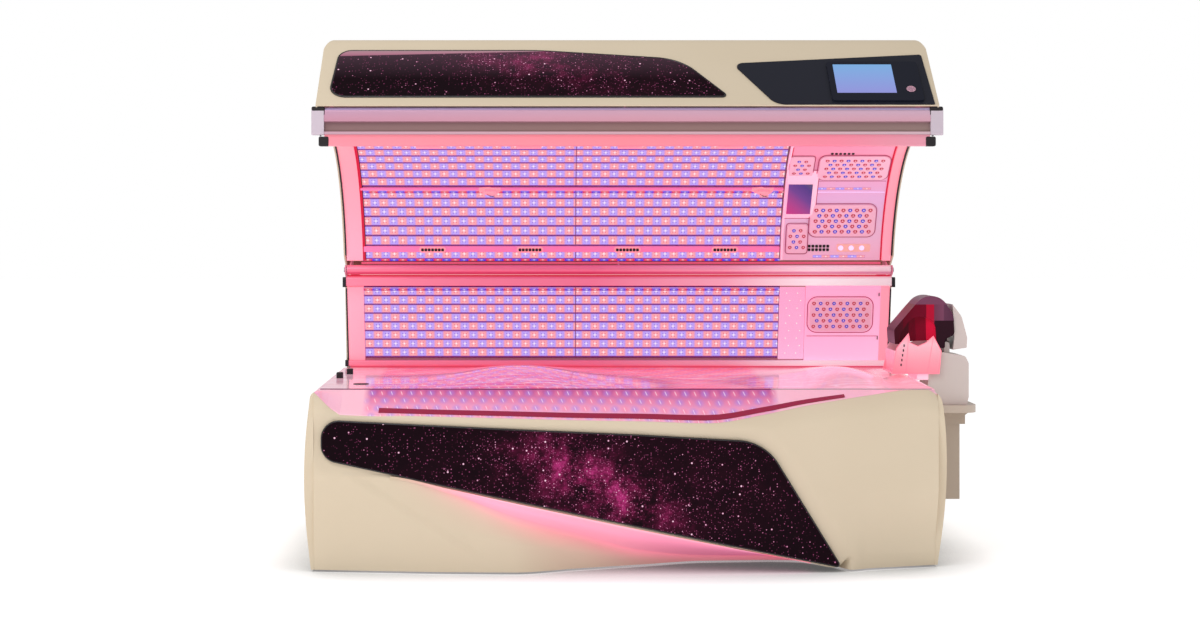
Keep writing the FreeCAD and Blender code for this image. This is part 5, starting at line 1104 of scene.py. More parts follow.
# %% [markdown]
# The lamp field has a pale border at its head end and dark gaps at both ends, where the acrylic sheet stops
# short of the panels. The gaps are painted shade in a red that glows with the lamps' light; the pale border,
# and a pink sill along the canopy's rear edge, glow with painted lamp light. On the bed these are extruded
# strips bent to the curve. Each one here is a ribbon of faces swept through the angles that it covers.


# %% Ribbons along the canopy's curve
def curve_ribbon(name, finish, across, angles, radii):
    """A thin strip that follows the canopy's curve, with its edges at different depths."""
    points = []
    steps = 40
    for step in range(steps + 1):
        degrees = angles[0] + (angles[1] - angles[0]) * step / steps
        for x, radius in zip(across, radii):
            points.append(curve_seat(x, degrees, radius)[0])
    add_piece(name, "canopy", finish, points, grid_faces(steps + 1, len(across)), smooth=True)


# Painted lamp light on the pale trim and the sill, and painted shade, lit red, in the gaps.
pale_trim = even_finish("pale_pink_pmma", "fbc9da", 0.25, 0.35, "ffb4d0")
red_shadow = even_finish("red_lit_gap_shade", "a80c30", 0.6, 0.5, "d80c38")
sill_pink = plain("pink_lit_sill", "e0607e", 0.5, glow=0.3)
RIBBONS = (
    ("field_border", pale_trim, (0.6765, 0.678, 0.685, 0.687), (-16, 35.9), (0.699, 0.690, 0.690, 0.6955)),
    ("field_border_gap", red_shadow, (0.687, 0.691), (-14, 14), (0.6952, 0.6952)),
    ("left_border_gap", red_shadow, (-1.0735, -1.0600), (-20, 35.9), (0.6930, 0.6960)),
    ("left_border_edges", black_and_hole_shade, (-1.0600, -1.0570), (-20, 35.9), (0.6960, 0.6965)),
    ("right_border_gap", red_shadow, (1.0935, 1.1000), (-18, 35.9), (0.6945, 0.6930)),
    ("canopy_rear_sill", sill_pink, (-1.078, 1.098), (36.65, 37.5), (0.6985, 0.6985)),
)
for ribbon in RIBBONS:
    curve_ribbon(*ribbon)
print("ribbons:", len(RIBBONS))

# %% [markdown]
# The inner display stands in a moulded collar that widens towards the panel, like a shallow picture
# frame. The collar is four rectangles joined by a skin. Its outer two follow the panel's curve.

# %% Surround of the inner display
CURVE_DROP = 1.4  # twice the curve's radius: a place y from its middle lies y * y / CURVE_DROP ahead


def box_line(left, right, low, high, count):
    """Points round a rectangle from its low left corner, count of them to a side."""
    corners = [Vector(corner) for corner in ((left, low), (right, low), (right, high), (left, high))]
    line = []
    for start, end in zip(corners, corners[1:] + corners[:1]):
        line += between(start, end, count)
    return line


display_seat = curve_seat(0.739, 11.5, PANEL_RADIUS)
points = []
for left, right, low, high, out, curved in (
    (-0.0604, 0.0725, -0.106, 0.146, 0.0008, 1),
    (-0.0590, 0.0710, -0.104, 0.144, 0.0040, 1),
    (-0.0500, 0.0500, -0.076, 0.076, 0.0176, 0),
    (-0.0490, 0.0490, -0.075, 0.075, 0.0170, 0),
):
    for p in box_line(left, right, low, high, 8):
        points.append(at(display_seat, p.x, p.y, out + p.y * p.y / CURVE_DROP * curved))
collar = (points, grid_faces(4, 32, closed=True))
add_piece("display_surround", "canopy", pale_trim, *collar, slot="lamp_plate")
print("head end fittings:", len(ports), "ports")

# %% [markdown]
# The air bar carries four outlets: pills of pink plastic, each with a row of square ports. The nozzle
# bar is thinner and holds two misting heads, small angular blocks with a bent steel jet each. Both
# are seen at arm's length, so they get their own shapes here.

# %% Service bars
BAR_LEFT, BAR_RIGHT = -1.066, 0.672
bars = []
for degrees, half in ((32.0, 0.012), (8.2, 0.0055)):
    corners = ((BAR_LEFT, -half), (BAR_RIGHT, -half), (BAR_RIGHT, half), (BAR_LEFT, half))
    line = rounded([(*corner, 0.002) for corner in corners], 3)
    bars.append((curve_seat(0, degrees, 0.6995), line, 0.008))


def long_bar(seat, line, depth):
    """A bar with eased edges, too long for a slab's inward pull."""
    points = []
    for out, inset in ((0, 0), (depth - 0.0015, 0), (depth, 0.0015)):
        for point in line:
            points.append(at(seat, point.x, point.y * (1 - inset / 0.012), out))
    count = len(line)
    faces = grid_faces(3, count, closed=True)
    faces.append(tuple(range(2 * count, 3 * count)))
    return points, faces


# The bars' glow is painted lamp light.
bar_pink = plain("anodised_bar_pink", "f07aae", 0.35, glow=0.3)
bar_meshes = merged([long_bar(*bar) for bar in bars])
add_piece("service_bars", "canopy", bar_pink, *bar_meshes, ("canopy_service_bars",), "pink_trim")
print("service bars:", len(bars))

# %% [markdown]
# An outlet is one moulded pill with seven square ports in a row. The same coral plastic makes the four small
# plates along the canopy's front edge; its faint glow is painted lamp light. The ports are dark plates a
# little proud of the pill, painted shade for the dark inside that is all a real hole that small would show.

# %% Air outlets
# Coral plastic; its glow is painted lamp light.
coral_abs = plain("coral_pink_abs", "ff9aa6", 0.35, glow=0.35)
OUTLET_PLACES = [-0.778 + 0.407 * number for number in range(4)]
pills, squares, plates = [], [], []
for x in OUTLET_PLACES:
    pills.append(plate(curve_seat(x, 32.0, 0.6911), 0.112, 0.026, 0.0125, 0.0062, 0.002, 8))
    for hole in range(7):
        seat = curve_seat(x - 0.042 + 0.014 * hole, 32.0, 0.6911)
        squares.append(plate(seat, 0.0115, 0.0130, 0.002, 0.0068, 0.0004, low=0.005))
    plates.append(plate(curve_seat(x, -9.3, 0.7318), 0.10, 0.018, 0.004, 0.002, 0.001, 4))
add_piece("air_outlet_pills", "canopy", coral_abs, *merged(pills), ("air_outlets",), "pink_trim")
add_piece("air_outlet_ports", "canopy", black_and_hole_shade, *merged(squares), ("air_outlets",), "pink_trim")
add_piece("front_row_plates", "canopy", coral_abs, *merged(plates))
print("outlets:", len(pills), "ports:", len(squares))

# %% [markdown]
# A misting head is an angular moulded block on a flat foot, with two thin tubes bent over its face.
# Foot and block are outlines raised to their heights, and the tubes are beads along a curve.

# %% Misting heads
HEAD_FOOT = [
    (-0.047, -0.002, 0.004), (-0.030, -0.014, 0.005), (-0.012, -0.010, 0.004), (0.004, -0.021, 0.005),
    (0.030, -0.018, 0.004), (0.040, -0.006, 0.004), (0.047, 0.013, 0.004), (0.010, 0.012, 0.004),
    (-0.004, 0.016, 0.003), (-0.045, 0.013, 0.004),
]
HEAD_BLOCK = [
    (-0.028, -0.004, 0.004), (-0.010, -0.015, 0.005), (0.022, -0.016, 0.006), (0.030, 0.004, 0.004),
    (0.004, 0.010, 0.004), (-0.022, 0.008, 0.004),
]
# For each tube: steps, start across and up, reach across and up, bend, height and radius.
TUBES = (
    (10, -0.012, -0.003, 0.030, -0.016, 0.6, 0.0225, 0.0011),
    (8, -0.002, -0.017, 0.020, 0.006, 2, 0.0215, 0.0009),
)
heads, jets = [], []
for x in (-0.533, 0.587):
    seat = curve_seat(x, 8.3, 0.6911)
    heads.append(slab(seat, rounded(HEAD_FOOT, 4), 0, 0.006, 0.002))
    heads.append(slab(seat, rounded(HEAD_BLOCK, 4), 0.005, 0.022, 0.006))
    for steps, across, up, reach, climb, bend, out, radius in TUBES:
        line = []
        for step in range(steps + 1):
            share = step / steps
            line.append(at(seat, across + reach * share, up + climb * share**bend, out))
        jets.append(bead_line(line, radius, seat[3], closed=False, sides=6))
add_piece("mist_heads", "canopy", coral_abs, *merged(heads), ("mist_nozzles",), "pink_trim")
add_piece("mist_jets", "canopy", black_and_hole_shade, *merged(jets), ("mist_nozzles",), "pink_trim", smooth=True)
print("mist head parts:", len(heads), "tubes:", len(jets))

# %% [markdown]
# ## The wall's head end
# Between the lamp field and the head panel the wall has a pale strip pierced by rows of tiny holes.
# The array behind the panel has a deep pink line of painted shade round it, and a shadow gap crosses the
# panel under it. A pale bead round the array plate's front edge is a painted highlight.

# %% Pierced strip and panel details
strip_seat = wall_seat(0.7305, 0.161, 0.0085)
pierced_strip = plate(strip_seat, 0.108, 0.318, 0.004, 0.002, 0.001)
add_piece("wall_pierced_strip", "base", wall_panel, *pierced_strip)
holes = []
for row in range(9):
    for column in range(2):
        x = -0.024 + 0.046 * column + (0.014 if row % 2 else 0)
        seat = (at(strip_seat, x, -0.132 + 0.033 * row, 0.0018), *strip_seat[1:])
        holes.append(plate(seat, 0.0042, 0.0042, 0.002, 0.0006, 0.0002))
dot_glow = even_finish("lit_pinhole", "ffe9d8", 0.5, 0.9, "fff0d8")
add_piece("wall_pinholes", "base", dot_glow, *merged(holes))


def plate_bead(seat, width, height, corner, out, radius, steps=10, sides=8):
    """A bead round a rounded rectangle, at a height above its seat."""
    line = rounded(rectangle(width, height, corner), steps)[::-1]
    return bead_line([at(seat, point.x, point.y, out) for point in line], radius, seat[3], sides=sides)


gap_pink = plain("deep_pink_gap", "b8466e", 0.6)
# Painted shade: a deep pink line round the array plate, and across the panel under it.
shadow_gap_bead = plate_bead(wall_plate, 0.276, 0.156, 0.041, 0.0012, 0.0017)
seam = plate(wall_seat(0.9435, 0.108, -0.0042), 0.30, 0.0022, 0.001, 0.0006, 0.0002, 2)
add_piece("wall_array_shadow_gap", "base", gap_pink, *merged([shadow_gap_bead, seam]))
# Painted highlight: a pale bead round the plate's front edge.
edge_highlight_bead = plate_bead(wall_plate, 0.262, 0.142, 0.034, 0.0062, 0.0010)
add_piece("wall_array_edge_highlight", "base", pale_trim, *edge_highlight_bead, smooth=True)
slots = [plate(wall_seat(1.093, up, -0.004), 0.004, 0.016, 0.001, 0.001, 0.0003, 2) for up in (0.100, 0.290)]
add_piece("wall_panel_slots", "base", black_and_hole_shade, *merged(slots))
print("pinholes:", len(holes))

# %% [markdown]
# Each plate on the head panel sits in a recess, so a dark line runs round it, and two seams cross the panel
# where its parts meet. Cutting real recesses would change the panel for a line 3 mm wide, so a thin bead in
# the shadow's colour lies round each plate, as painted shade. The upper seam is painted shade in the same
# colour, and the lower one a pale line of painted light with the opal lamps' glow.

# %% Shadow gaps round the canopy's plates
gaps = []
for across, degrees, width, height, corner in (
    (0.946, -2.5, 0.292, 0.158, 0.034),
    (0.927, 21.0, 0.278, 0.158, 0.034),
    (0.734, -3.0, 0.102, 0.136, 0.014),
    (0.742, 28.0, 0.092, 0.138, 0.014),
):
    gaps.append(plate_bead(plate_seat(across, degrees, height), width, height, corner, 0.0008, 0.0016, 8, 6))
line = box_line(-0.0614, 0.0735, -0.107, 0.147, 12)[::-1]
around = [at(display_seat, p.x, p.y, 0.0010 + p.y * p.y / CURVE_DROP) for p in line]
gaps.append(bead_line(around, 0.0018, display_seat[3], sides=6))
add_piece("canopy_plate_gaps", "canopy", gap_pink, *merged(gaps), smooth=True)
# Painted shade on the upper seam, painted light on the lower one.
for label, degrees, finish in (("upper", 4.6, gap_pink), ("lower", 9.6, pale_light)):
    seam = plate(curve_seat(0.935, degrees, 0.6958), 0.31, 0.0022, 0.001, 0.0006, 0.0002, 2)
    add_piece("canopy_seam_" + label, "canopy", finish, *seam)
print("gaps:", len(gaps))

# %% [markdown]
# ## Corner blocks, button and bench fittings
# The grip rail ends in pale caps with black rubber corner blocks above and below. The start button
# carries an engraved mark: an outer ring, a small inner ring and eight short spokes. They are thin
# metal inlays on its face, so here they are beads that lie on the button and travel with it.


# %% Corner blocks and the button's rings
def block(low, high, radius):
    """A box with its front edges rounded, between two corners."""
    middle = ((low[0] + high[0]) / 2, high[1], (low[2] + high[2]) / 2)
    seat = (Vector(middle), Vector((1, 0, 0)), Vector((0, 0, 1)), Vector((0, -1, 0)))
    line = rounded(rectangle(abs(high[0] - low[0]), high[2] - low[2], radius), 4)
    return slab(seat, line, 0, high[1] - low[1], 0.003)


corners = []
for side in (-1, 1):
    for inner, outer, front, foot, back, head in (
        (1.117, 1.166, -0.6775, 1.690, -0.645, 1.7235),
        (1.104, 1.141, -0.6690, 1.577, -0.640, 1.613),
    ):
        low_x, high_x = sorted((side * inner, side * outer))
        corners.append(block((low_x, front, foot), (high_x, back, head), 0.006))
rubber = plain("black_tpe_rubber", "191216", 0.45)
add_piece("rail_corner_blocks", "canopy", rubber, *merged(corners), slot="black_trim")

BUTTON_ACROSS, BUTTON_UP = 1.055, 0.084
button_points = [vertex.co for vertex in cad_nodes["start_button"].data.vertices]
button_top = max((point - FASCIA_FOOT).dot(FASCIA_OUT) for point in button_points)


def on_button(radius, turn):
    """A point on the button's face, at a distance and a direction from its middle."""
    across = BUTTON_ACROSS + radius * math.cos(turn)
    return at(fascia_seat, across, BUTTON_UP + radius * math.sin(turn), button_top)


lines = []
for radius, thick in ((0.0157, 0.0012), (0.0075, 0.0008)):
    ring = [on_button(radius, step * math.tau / 28) for step in range(28)]
    lines.append(bead_line(ring, thick, FASCIA_OUT, sides=6))
for step in range(8):
    spoke = [on_button(radius, step * math.tau / 8) for radius in (0.009, 0.0118, 0.0146)]
    lines.append(bead_line(spoke, 0.0008, FASCIA_OUT, closed=False, sides=6))
ring_metal = plain("rose_chrome_ring", "e0b0c0", 0.25, 0.6)
add_piece("button_rings", "button", ring_metal, *merged(lines), smooth=True)
print("button height over the fascia:", round(button_top, 4))

# %% [markdown]
# The bench acrylic sits in a dark gasket along its front, is held by two black clips at the foot end, and has
# a drain pad at each end. Along the lamps the gasket is painted plum with their light and glows faintly; past
# the lamps it is grey. All are small rubber mouldings: beads, blocks and plates are enough for them.

# %% Bench fittings
EDGE_STEPS, GASKET_JOINT = 80, 59
edge = [Vector((-1.150 + 2.300 * step / EDGE_STEPS, -0.5385, 0.6685)) for step in range(EDGE_STEPS + 1)]
# Painted lamp light: plum with a faint glow along the lamps.
gasket = plain("lamp_lit_plum_gasket", "6b1f4c", 0.4, glow=0.05)
grey_gasket = plain("grey_pvc_gasket", "a39a9c", 0.4)
for name, finish, line, radius in (
    ("bench_gasket_foot", gasket, edge[: GASKET_JOINT + 1], 0.0021),
    ("bench_gasket_head", grey_gasket, edge[GASKET_JOINT:], 0.0019),
):
    add_piece(name, "base", finish, *bead_line(line, radius, TOWARDS_FRONT, closed=False), smooth=True)
clips = [
    block((-1.138, -0.110, 0.674), (-1.112, -0.090, 0.700), 0.004),
    block((-1.115, 0.060, 0.676), (-1.090, 0.080, 0.702), 0.004),
]
add_piece("bench_clips", "base", rubber, *merged(clips), slot="black_trim")
pads = []
for place in ((-1.0153, -0.35, 0.6722), (1.124, -0.30, 0.6722)):
    seat = (Vector(place), Vector((1, 0, 0)), Vector((0, 1, 0)), Vector((0, 0, 1)))
    pads.append(plate(seat, 0.060, 0.050, 0.024, 0.0025, 0.001, 8))
add_piece("bench_drain_pads", "base", rubber, *merged(pads), slot="black_trim")
print("fittings:", len(corners), "corner blocks,", len(clips), "clips,", len(pads), "pads")

# %% [markdown]
# Two long rubber strips close the slots where daylight would come through: one under the canopy's hinge
# barrel, one between the wall's foot and the bench. Both are plain bars that stay on the base. The upper one
# is painted shade, a dark red line that glows red with the lamps' light, and the lower one is painted pink
# with lamp light.

# %% Fit the seal strips
low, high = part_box("wall_top_profile")
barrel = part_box("canopy_hinge_barrel")[0]
left, right = low[0] + 0.004, high[0] - 0.004
hinge_strip = block((left, 0.266, high[2] - 0.001), (right, 0.274, barrel[2] - 0.001), 0.0005)
# Painted shade: a dark red line lit red by the lamps.
add_piece("hinge_gap_seal", "base", red_shadow, *hinge_strip, slot="seal_rubber")
low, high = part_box("wall_bottom_profile")
left, right = low[0] + 0.004, high[0] - 0.004
foot_strip = block((left, 0.376, 0.656), (right, 0.384, low[2] - 0.0003), 0.0005)
# Painted lamp light: a pink strip with a glow.
add_piece("wall_foot_seal", "base", sill_pink, *foot_strip, slot="seal_rubber")
print("seal strips:", round(high[0] - low[0], 3), "m long")

# %% [markdown]
# The nozzle hood is lined with red facets that throw the nozzle's light forward. The cradle's edges glow,
# because light leaves clear plastic at its edges. The facets are flat faces in four reds with a glow, from a
# shaded dark red on the left to a bright lit one on the right: painted light and shade on one red lining. The
# glowing edges are beads laid along the cradle's outline and its two folds.

# %% Hood lining and cradle edges
LINING_FOOT = [
    (1.099, -0.147, 0.821), (1.136, -0.130, 0.824), (1.168, -0.124, 0.826), (1.208, -0.130, 0.828),
    (1.245, -0.147, 0.830),
]
LINING_HEAD = [
    (1.103, -0.147, 0.866), (1.140, -0.130, 0.920), (1.163, -0.124, 0.944), (1.206, -0.130, 0.922),
    (1.241, -0.147, 0.902),
]
LINING_THICKNESS = 0.006
points = LINING_FOOT + LINING_HEAD
points += [(x, y + LINING_THICKNESS, z) for x, y, z in points]
faces = []
for a, b, c, d in ((0, 1, 6, 5), (15, 16, 11, 10), (10, 11, 1, 0), (5, 6, 16, 15)):
    faces += [(n + a, n + b, n + c, n + d) for n in range(4)]
faces += [(0, 5, 15, 10), (4, 14, 19, 9)]
lit_and_shaded_reds = []
# Painted light and shade: four tones of one red lining, darkest on the left facets, brightest on the right.
for label, colour, glow in (
    ("shade", "4a0618", 0.1), ("deep", "66001c", 0.15), ("red", "780020", 0.2), ("bright", "c00c34", 0.35),
):
    lit_and_shaded_reds.append(plain("hood_lining_" + label, colour, 0.3, glow=glow, specular=0.08))
lining = add_piece("hood_lining", "nozzle_head", lit_and_shaded_reds[0], points, faces, slot="hood_red")
for tone in lit_and_shaded_reds[1:]:
    lining.data.materials.append(tone)
for face in lining.data.polygons:
    face.material_index = face.index % 4 if face.index < 16 else 0

CRADLE_OUTLINE = [
    (1.063, 0.700), (1.082, 0.800), (1.129, 0.859), (1.134, 0.822), (1.166, 0.808), (1.198, 0.822),
    (1.227, 0.848), (1.258, 0.790), (1.250, 0.700),
]
CRADLE_FOLDS = (((1.129, 0.855), (1.120, 0.704)), ((1.227, 0.844), (1.204, 0.704)))
CRADLE_FACE, FOLD_FACE = -0.1795, -0.1798


def on_cradle(start, end, count, y):
    """Points on the cradle's front, from one (x, z) up to the last step before another."""
    run, rise = end[0] - start[0], end[1] - start[1]
    return [Vector((start[0] + run * n / count, y, start[1] + rise * n / count)) for n in range(count)]


outline = []
for start, end in zip(CRADLE_OUTLINE, CRADLE_OUTLINE[1:] + CRADLE_OUTLINE[:1]):
    outline += on_cradle(start, end, max(1, int(math.dist(start, end) / 0.012)), CRADLE_FACE)
edges = [bead_line(outline, 0.0015, TOWARDS_FRONT, sides=6)]
for start, end in CRADLE_FOLDS:
    fold = on_cradle(start, end, 8, FOLD_FACE) + [Vector((end[0], FOLD_FACE, end[1]))]
    edges.append(bead_line(fold, 0.0012, TOWARDS_FRONT, closed=False, sides=6))
edge_glow = plain("cradle_edge_glow", "ff7f94", 0.3, glow=0.45)
add_piece("cradle_edges", "base", edge_glow, *merged(edges), slot="cradle_pink")
slits = []
for n in range(5):
    x, z = 1.096 + 0.003 * n, 0.728 + 0.019 * n
    slits.append(block((x, -0.1808, z), (x + 0.007, -0.1790, z + 0.013), 0.002))
add_piece("cradle_slits", "base", black_and_hole_shade, *merged(slits), slot="black_trim")
cradle_foot = block((1.163, -0.172, 0.674), (1.209, 0.020, 0.6995), 0.003)
add_piece("cradle_foot", "base", pale_trim, *cradle_foot, slot="cradle_pink")
print("hood lining facets:", len(lining.data.polygons))

# %% [markdown]
# The hood's shell is made of tiles in different reds. It could be a mesh with one material to a tile, but the
# CAD hood is one smooth arch, so its finish picks the tile's colour from the place on the arch. Low on the
# right side it paints shade in a near-black red, and the crown is paler.


# %% Tiled hood shell
def tiled_hood():
    """Reds that change from tile to tile over the hood's arch, with painted shade low on the right."""
    finish, shader, add = new_finish("tiled_red_hood", {"Roughness": 0.3, "Specular IOR Level": 0.1})
    place = add("TexCoord", {}, "Object")
    axes = add("SeparateXYZ", {"Vector": place}).node
    run = add("MapRange", {"From Min": 1.076, "From Max": 1.316, "Value": axes.outputs["X"]})
    tiles = [
        (0.0, "40081a"), (0.145, "4c081c"), (0.15, "5c001a"), (0.35, "6c0020"), (0.53, "700022"),
        (0.535, "b80c32"), (0.66, "b40e34"), (0.665, "6e3850"), (0.82, "7c4862"), (0.825, "643a52"),
        (1.0, "583048"),
    ]
    colour = add("ValToRGB", {"stops": tiles, "Fac": run})
    # Painted shade low on the hood's right side.
    right = add("Math GREATER_THAN", [axes.outputs["X"], 1.236])
    low_side = add("Math LESS_THAN", [axes.outputs["Z"], 0.908])
    shade = add("Math MULTIPLY", [right, low_side])
    colour = add("Mix RGBA", {0: shade, 6: colour, 7: "2c0e1c"}, 2)
    crown = add("Math GREATER_THAN", [axes.outputs["Z"], 0.972])
    colour = add("Mix RGBA", {0: crown, 6: colour, 7: "7a4660"}, 2)
    set_up(shader, {"Base Color": colour})
    return finish


hood_tiles = tiled_hood()
print("hood finish:", hood_tiles.name)

# %% [markdown]
# ## Metal, glass and the other plastics
# Anodised aluminium picks up the pink of the lamps. Its own colour stays silvery, so each profile's finish
# runs from the lamp pink at the foot end to nearly white at the head end, where no lamps are. On the grip
# rail and the pink profiles a run of tones by height adds painted highlights and shade: pale bands on the
# faces that catch light, and on the rail a dark groove and a lavender highlight along its top. Fine brushing
# would be 0.2 mm wide; it is drawn as 3 mm streaks along the profile.


# %% Brushed anodised aluminium under pink light
def lit_aluminium(name, along_stops, span, light_and_shade_stops=None, heights=None, glow=0.12):
    """Satin profile whose tint runs along X, with painted highlights and shade across it by height where
    given.
    """
    finish, shader, add = new_finish(name, {"Roughness": 0.38, "Metallic": 0.35, "Specular IOR Level": 0.3})
    place = add("TexCoord", {}, "Object")
    axes = add("SeparateXYZ", {"Vector": place}).node
    run = add("MapRange", {"From Min": span[0], "From Max": span[1], "Value": axes.outputs["X"]})
    colour = add("ValToRGB", {"stops": along_stops, "Fac": run})
    # Painted highlights and shade across the profile, by height.
    if light_and_shade_stops:
        rise = add("MapRange", {"From Min": heights[0], "From Max": heights[1], "Value": axes.outputs["Z"]})
        painted_light_band = add("ValToRGB", {"stops": light_and_shade_stops, "Fac": rise})
        colour = add("Mix RGBA", {"blend_type": "MULTIPLY", 0: 1.0, 6: colour, 7: painted_light_band}, 2)
    streak = add("VectorMath MULTIPLY", [place, (4, 330, 330)])
    streak = add("TexNoise", {"Scale": 1.0, "Detail": 2.0, "Vector": streak})
    brushed = add("MapRange", {"To Min": 0.3, "To Max": 0.46, "Value": streak})
    set_up(shader, {"Base Color": colour, "Roughness": brushed})
    set_up(shader, {"Emission Color": colour, "Emission Strength": glow})
    return finish


rail_metal = lit_aluminium(
    "anodised_grip_rail",
    [(0.0, "f3e6ee"), (0.5, "fff2f4"), (1.0, "ffffff")],
    (-1.12, 1.12),
    [
        (0.0, "c9aeb8"), (0.10, "d8b4be"), (0.12, "8f7472"), (0.20, "9a817c"), (0.42, "8c7170"),
        (0.455, "a07a80"), (0.475, "cf9eae"), (0.60, "d2a3b4"), (0.88, "cdabc0"), (0.91, "c3b4e0"),
        (0.97, "c6bbe6"), (1.0, "d0c6ea"),
    ],
    (1.6206, 1.7206),
    glow=0.05,
)
pink_rail = lit_aluminium(
    "anodised_profile_pink",
    [(0.0, "f4869e"), (0.45, "f07c9a"), (0.70, "f6acbe"), (0.86, "fff4f6"), (1.0, "fbe4ea")],
    (-1.12, 1.12),
    [
        (0.0, "ffffff"), (0.18, "ffffff"), (0.36, "fbdce4"), (0.48, "dc90b4"), (0.56, "fbe0e8"),
        (0.75, "ffffff"), (0.9, "eab4ca"), (1.0, "ffe6ec"),
    ],
    (1.045, 1.135),
    glow=0.18,
)
lip_stops = [(0.0, "fb93a2"), (0.5, "fb8e9c"), (0.85, "f58ba2"), (1.0, "e39bac")]
lip_metal = lit_aluminium("anodised_lip_pink", lip_stops, (-1.12, 1.12), glow=0.08)
silver = lit_aluminium("anodised_silver", [(0.0, "cfc6cc"), (1.0, "d6d0d4")], (-1.2, 1.2), glow=0.0)
print("metals:", rail_metal.name, pink_rail.name, lip_metal.name, silver.name)

# %% [markdown]
# The cheeks, the canopy's head panel and the cradle are tinted plastic lit from inside. A light
# simulation through them would be slow and noisy, so each gets a soft run of pinks from foot to head
# and a low glow.

# %% Lit acrylic panels and cheeks
LIT_PANELS = (
    ("lit_cheek_acrylic", [(0.0, "fb9cac"), (0.5, "fba0b2"), (1.0, "fb939f")], (0.7, 1.6), 0.4),
    (
        "pale_pink_head_acrylic",
        [(0.0, "f0b4cc"), (0.35, "e2bcd6"), (0.6, "dfb4da"), (1.0, "f09ab4")],
        (1.14, 1.57),
        0.22,
    ),
    (
        "frosted_pink_pc",
        [(0.0, "ff8ca0"), (0.35, "f7a0b0"), (0.7, "f2bcc8"), (1.0, "ff8c9c")],
        (0.69, 0.87),
        0.14,
    ),
)
cheek_acrylic, canopy_panel, cradle_pc = [
    lit_panel(name, stops, "Z", span, glow) for name, stops, span, glow in LIT_PANELS
]
print("lit panels:", len(LIT_PANELS))

# %% [markdown]
# Clear cast acrylic covers the lamps of the wall and the canopy. Real refraction would need many light
# bounces to pass, so the sheet is nearly transparent instead, with its own faint reflections.

# %% Clear sheets
clear_sheet = {"IOR": 1.49, "Alpha": 0.05, "Specular IOR Level": 0.35}
clear_acrylic = even_finish("clear_cast_acrylic", "ffd3e4", 0.05, **clear_sheet)
print("clear sheet:", clear_acrylic.name)

# %% [markdown]
# The bench is a thick moulded sheet over twenty rows of lamps. Through it they look like a blurred
# lattice of red and blue, and the body contour breaks their light into long streaks. The finish draws
# that: a ground of pinks by depth, soft spots at the lamps' pitch, thin glints and noise streaks.


# %% Bench acrylic and apron
def bench_finish(name, lattice_span, rear, front, streaks, alpha):
    """Thick clear acrylic over the bench lamps: soft pinks, the lamps' blurred lattice, and glints."""
    gloss = {"Roughness": 0.08, "IOR": 1.49, "Specular IOR Level": 0.4, "Alpha": alpha}
    finish, shader, add = new_finish(name, gloss)
    place = add("TexCoord", {}, "Object")
    axes = add("SeparateXYZ", {"Vector": place}).node
    x, y = axes.outputs["X"], axes.outputs["Y"]
    depth = add("MapRange", {"From Min": lattice_span[0], "From Max": lattice_span[1], "Value": y})
    shades = [(0.0, front[0]), (0.45, front[1]), (0.9, rear), (1.0, rear)]
    ground = add("ValToRGB", {"stops": shades, "Fac": depth})
    u = add("Math MULTIPLY", [x, 1 / LED_PITCH])
    v = add("Math MULTIPLY", [y, 1 / lattice_span[2]])
    row = add("Math FLOOR", [v])
    shift = add("Math MULTIPLY_ADD", [row, 0.37, u])
    run = add("Math FRACT", [shift])
    run = add("Math SUBTRACT", [run, 0.5])
    rise = add("Math FRACT", [v])
    rise = add("Math SUBTRACT", [rise, 0.5])
    number = add("Math FLOOR", [shift])
    pair = add("Math ADD", [number, row])
    pair = add("Math PINGPONG", [pair, 1.0])
    spot = add("CombineXYZ", {"X": run, "Y": rise})
    reach = add("VectorMath LENGTH", [spot], "Value")
    blur = add("MapRange", {"From Min": 0.55, "From Max": 0.1, "To Max": 0.55, "Value": reach})
    chip = add("Mix RGBA", {0: pair, 6: "ee869e", 7: "9c86de"}, 2)
    slant = add("Math MULTIPLY_ADD", [rise, 0.35, run])
    thin = add("Math ABSOLUTE", [slant])
    glint = add("MapRange", {"From Min": 0.07, "From Max": 0.01, "To Max": 0.6, "Value": thin})
    short = add("Math ABSOLUTE", [rise])
    short = add("MapRange", {"From Min": 0.3, "From Max": 0.15, "Value": short})
    glint = add("Math MULTIPLY", [glint, short])
    zone_left = add("MapRange", {"From Min": -0.985, "From Max": -0.955, "Value": x})
    zone_right = add("MapRange", {"From Min": 0.57, "From Max": 0.54, "Value": x})
    zone = add("Math MULTIPLY", [zone_left, zone_right])
    blur = add("Math MULTIPLY", [blur, zone])
    glint = add("Math MULTIPLY", [glint, zone])
    colour = add("Mix RGBA", {0: zone, 6: "f0bccb", 7: ground}, 2)
    colour = add("Mix RGBA", {0: blur, 6: colour, 7: chip}, 2)
    long = add("VectorMath MULTIPLY", [place, (2.2, 16.0, 30.0)])
    folded = {"Scale": 1.0, "Detail": 3.0, "Roughness": 0.55, "Distortion": 1.2, "Vector": long}
    folds = add("TexNoise", folded)
    folds = add("Math SUBTRACT", [folds, 0.5])
    folds = add("Math ABSOLUTE", [folds])
    lines = add("MapRange", {"From Min": 0.035, "From Max": 0.0, "To Max": streaks, "Value": folds})
    colour = add("Mix RGBA", {0: lines, 6: colour, 7: "ffe9f2"}, 2)
    colour = add("Mix RGBA", {0: glint, 6: colour, 7: "fff2f6"}, 2)
    set_up(shader, {"Base Color": colour, "Emission Color": colour, "Emission Strength": 0.2})
    return finish


bench_clear = bench_finish(
    "thick_bench_acrylic", (-0.538, 0.372, 0.045), "fb91ae", ("e4649c", "f887aa"), 0.75, 0.93
)
apron_clear = bench_finish(
    "clear_apron_acrylic", (-0.70, -0.538, 0.0385), "bc5c94", ("f4b8d0", "e49abc"), 0.0, 1.0
)
print("bench finishes:", bench_clear.name, apron_clear.name)

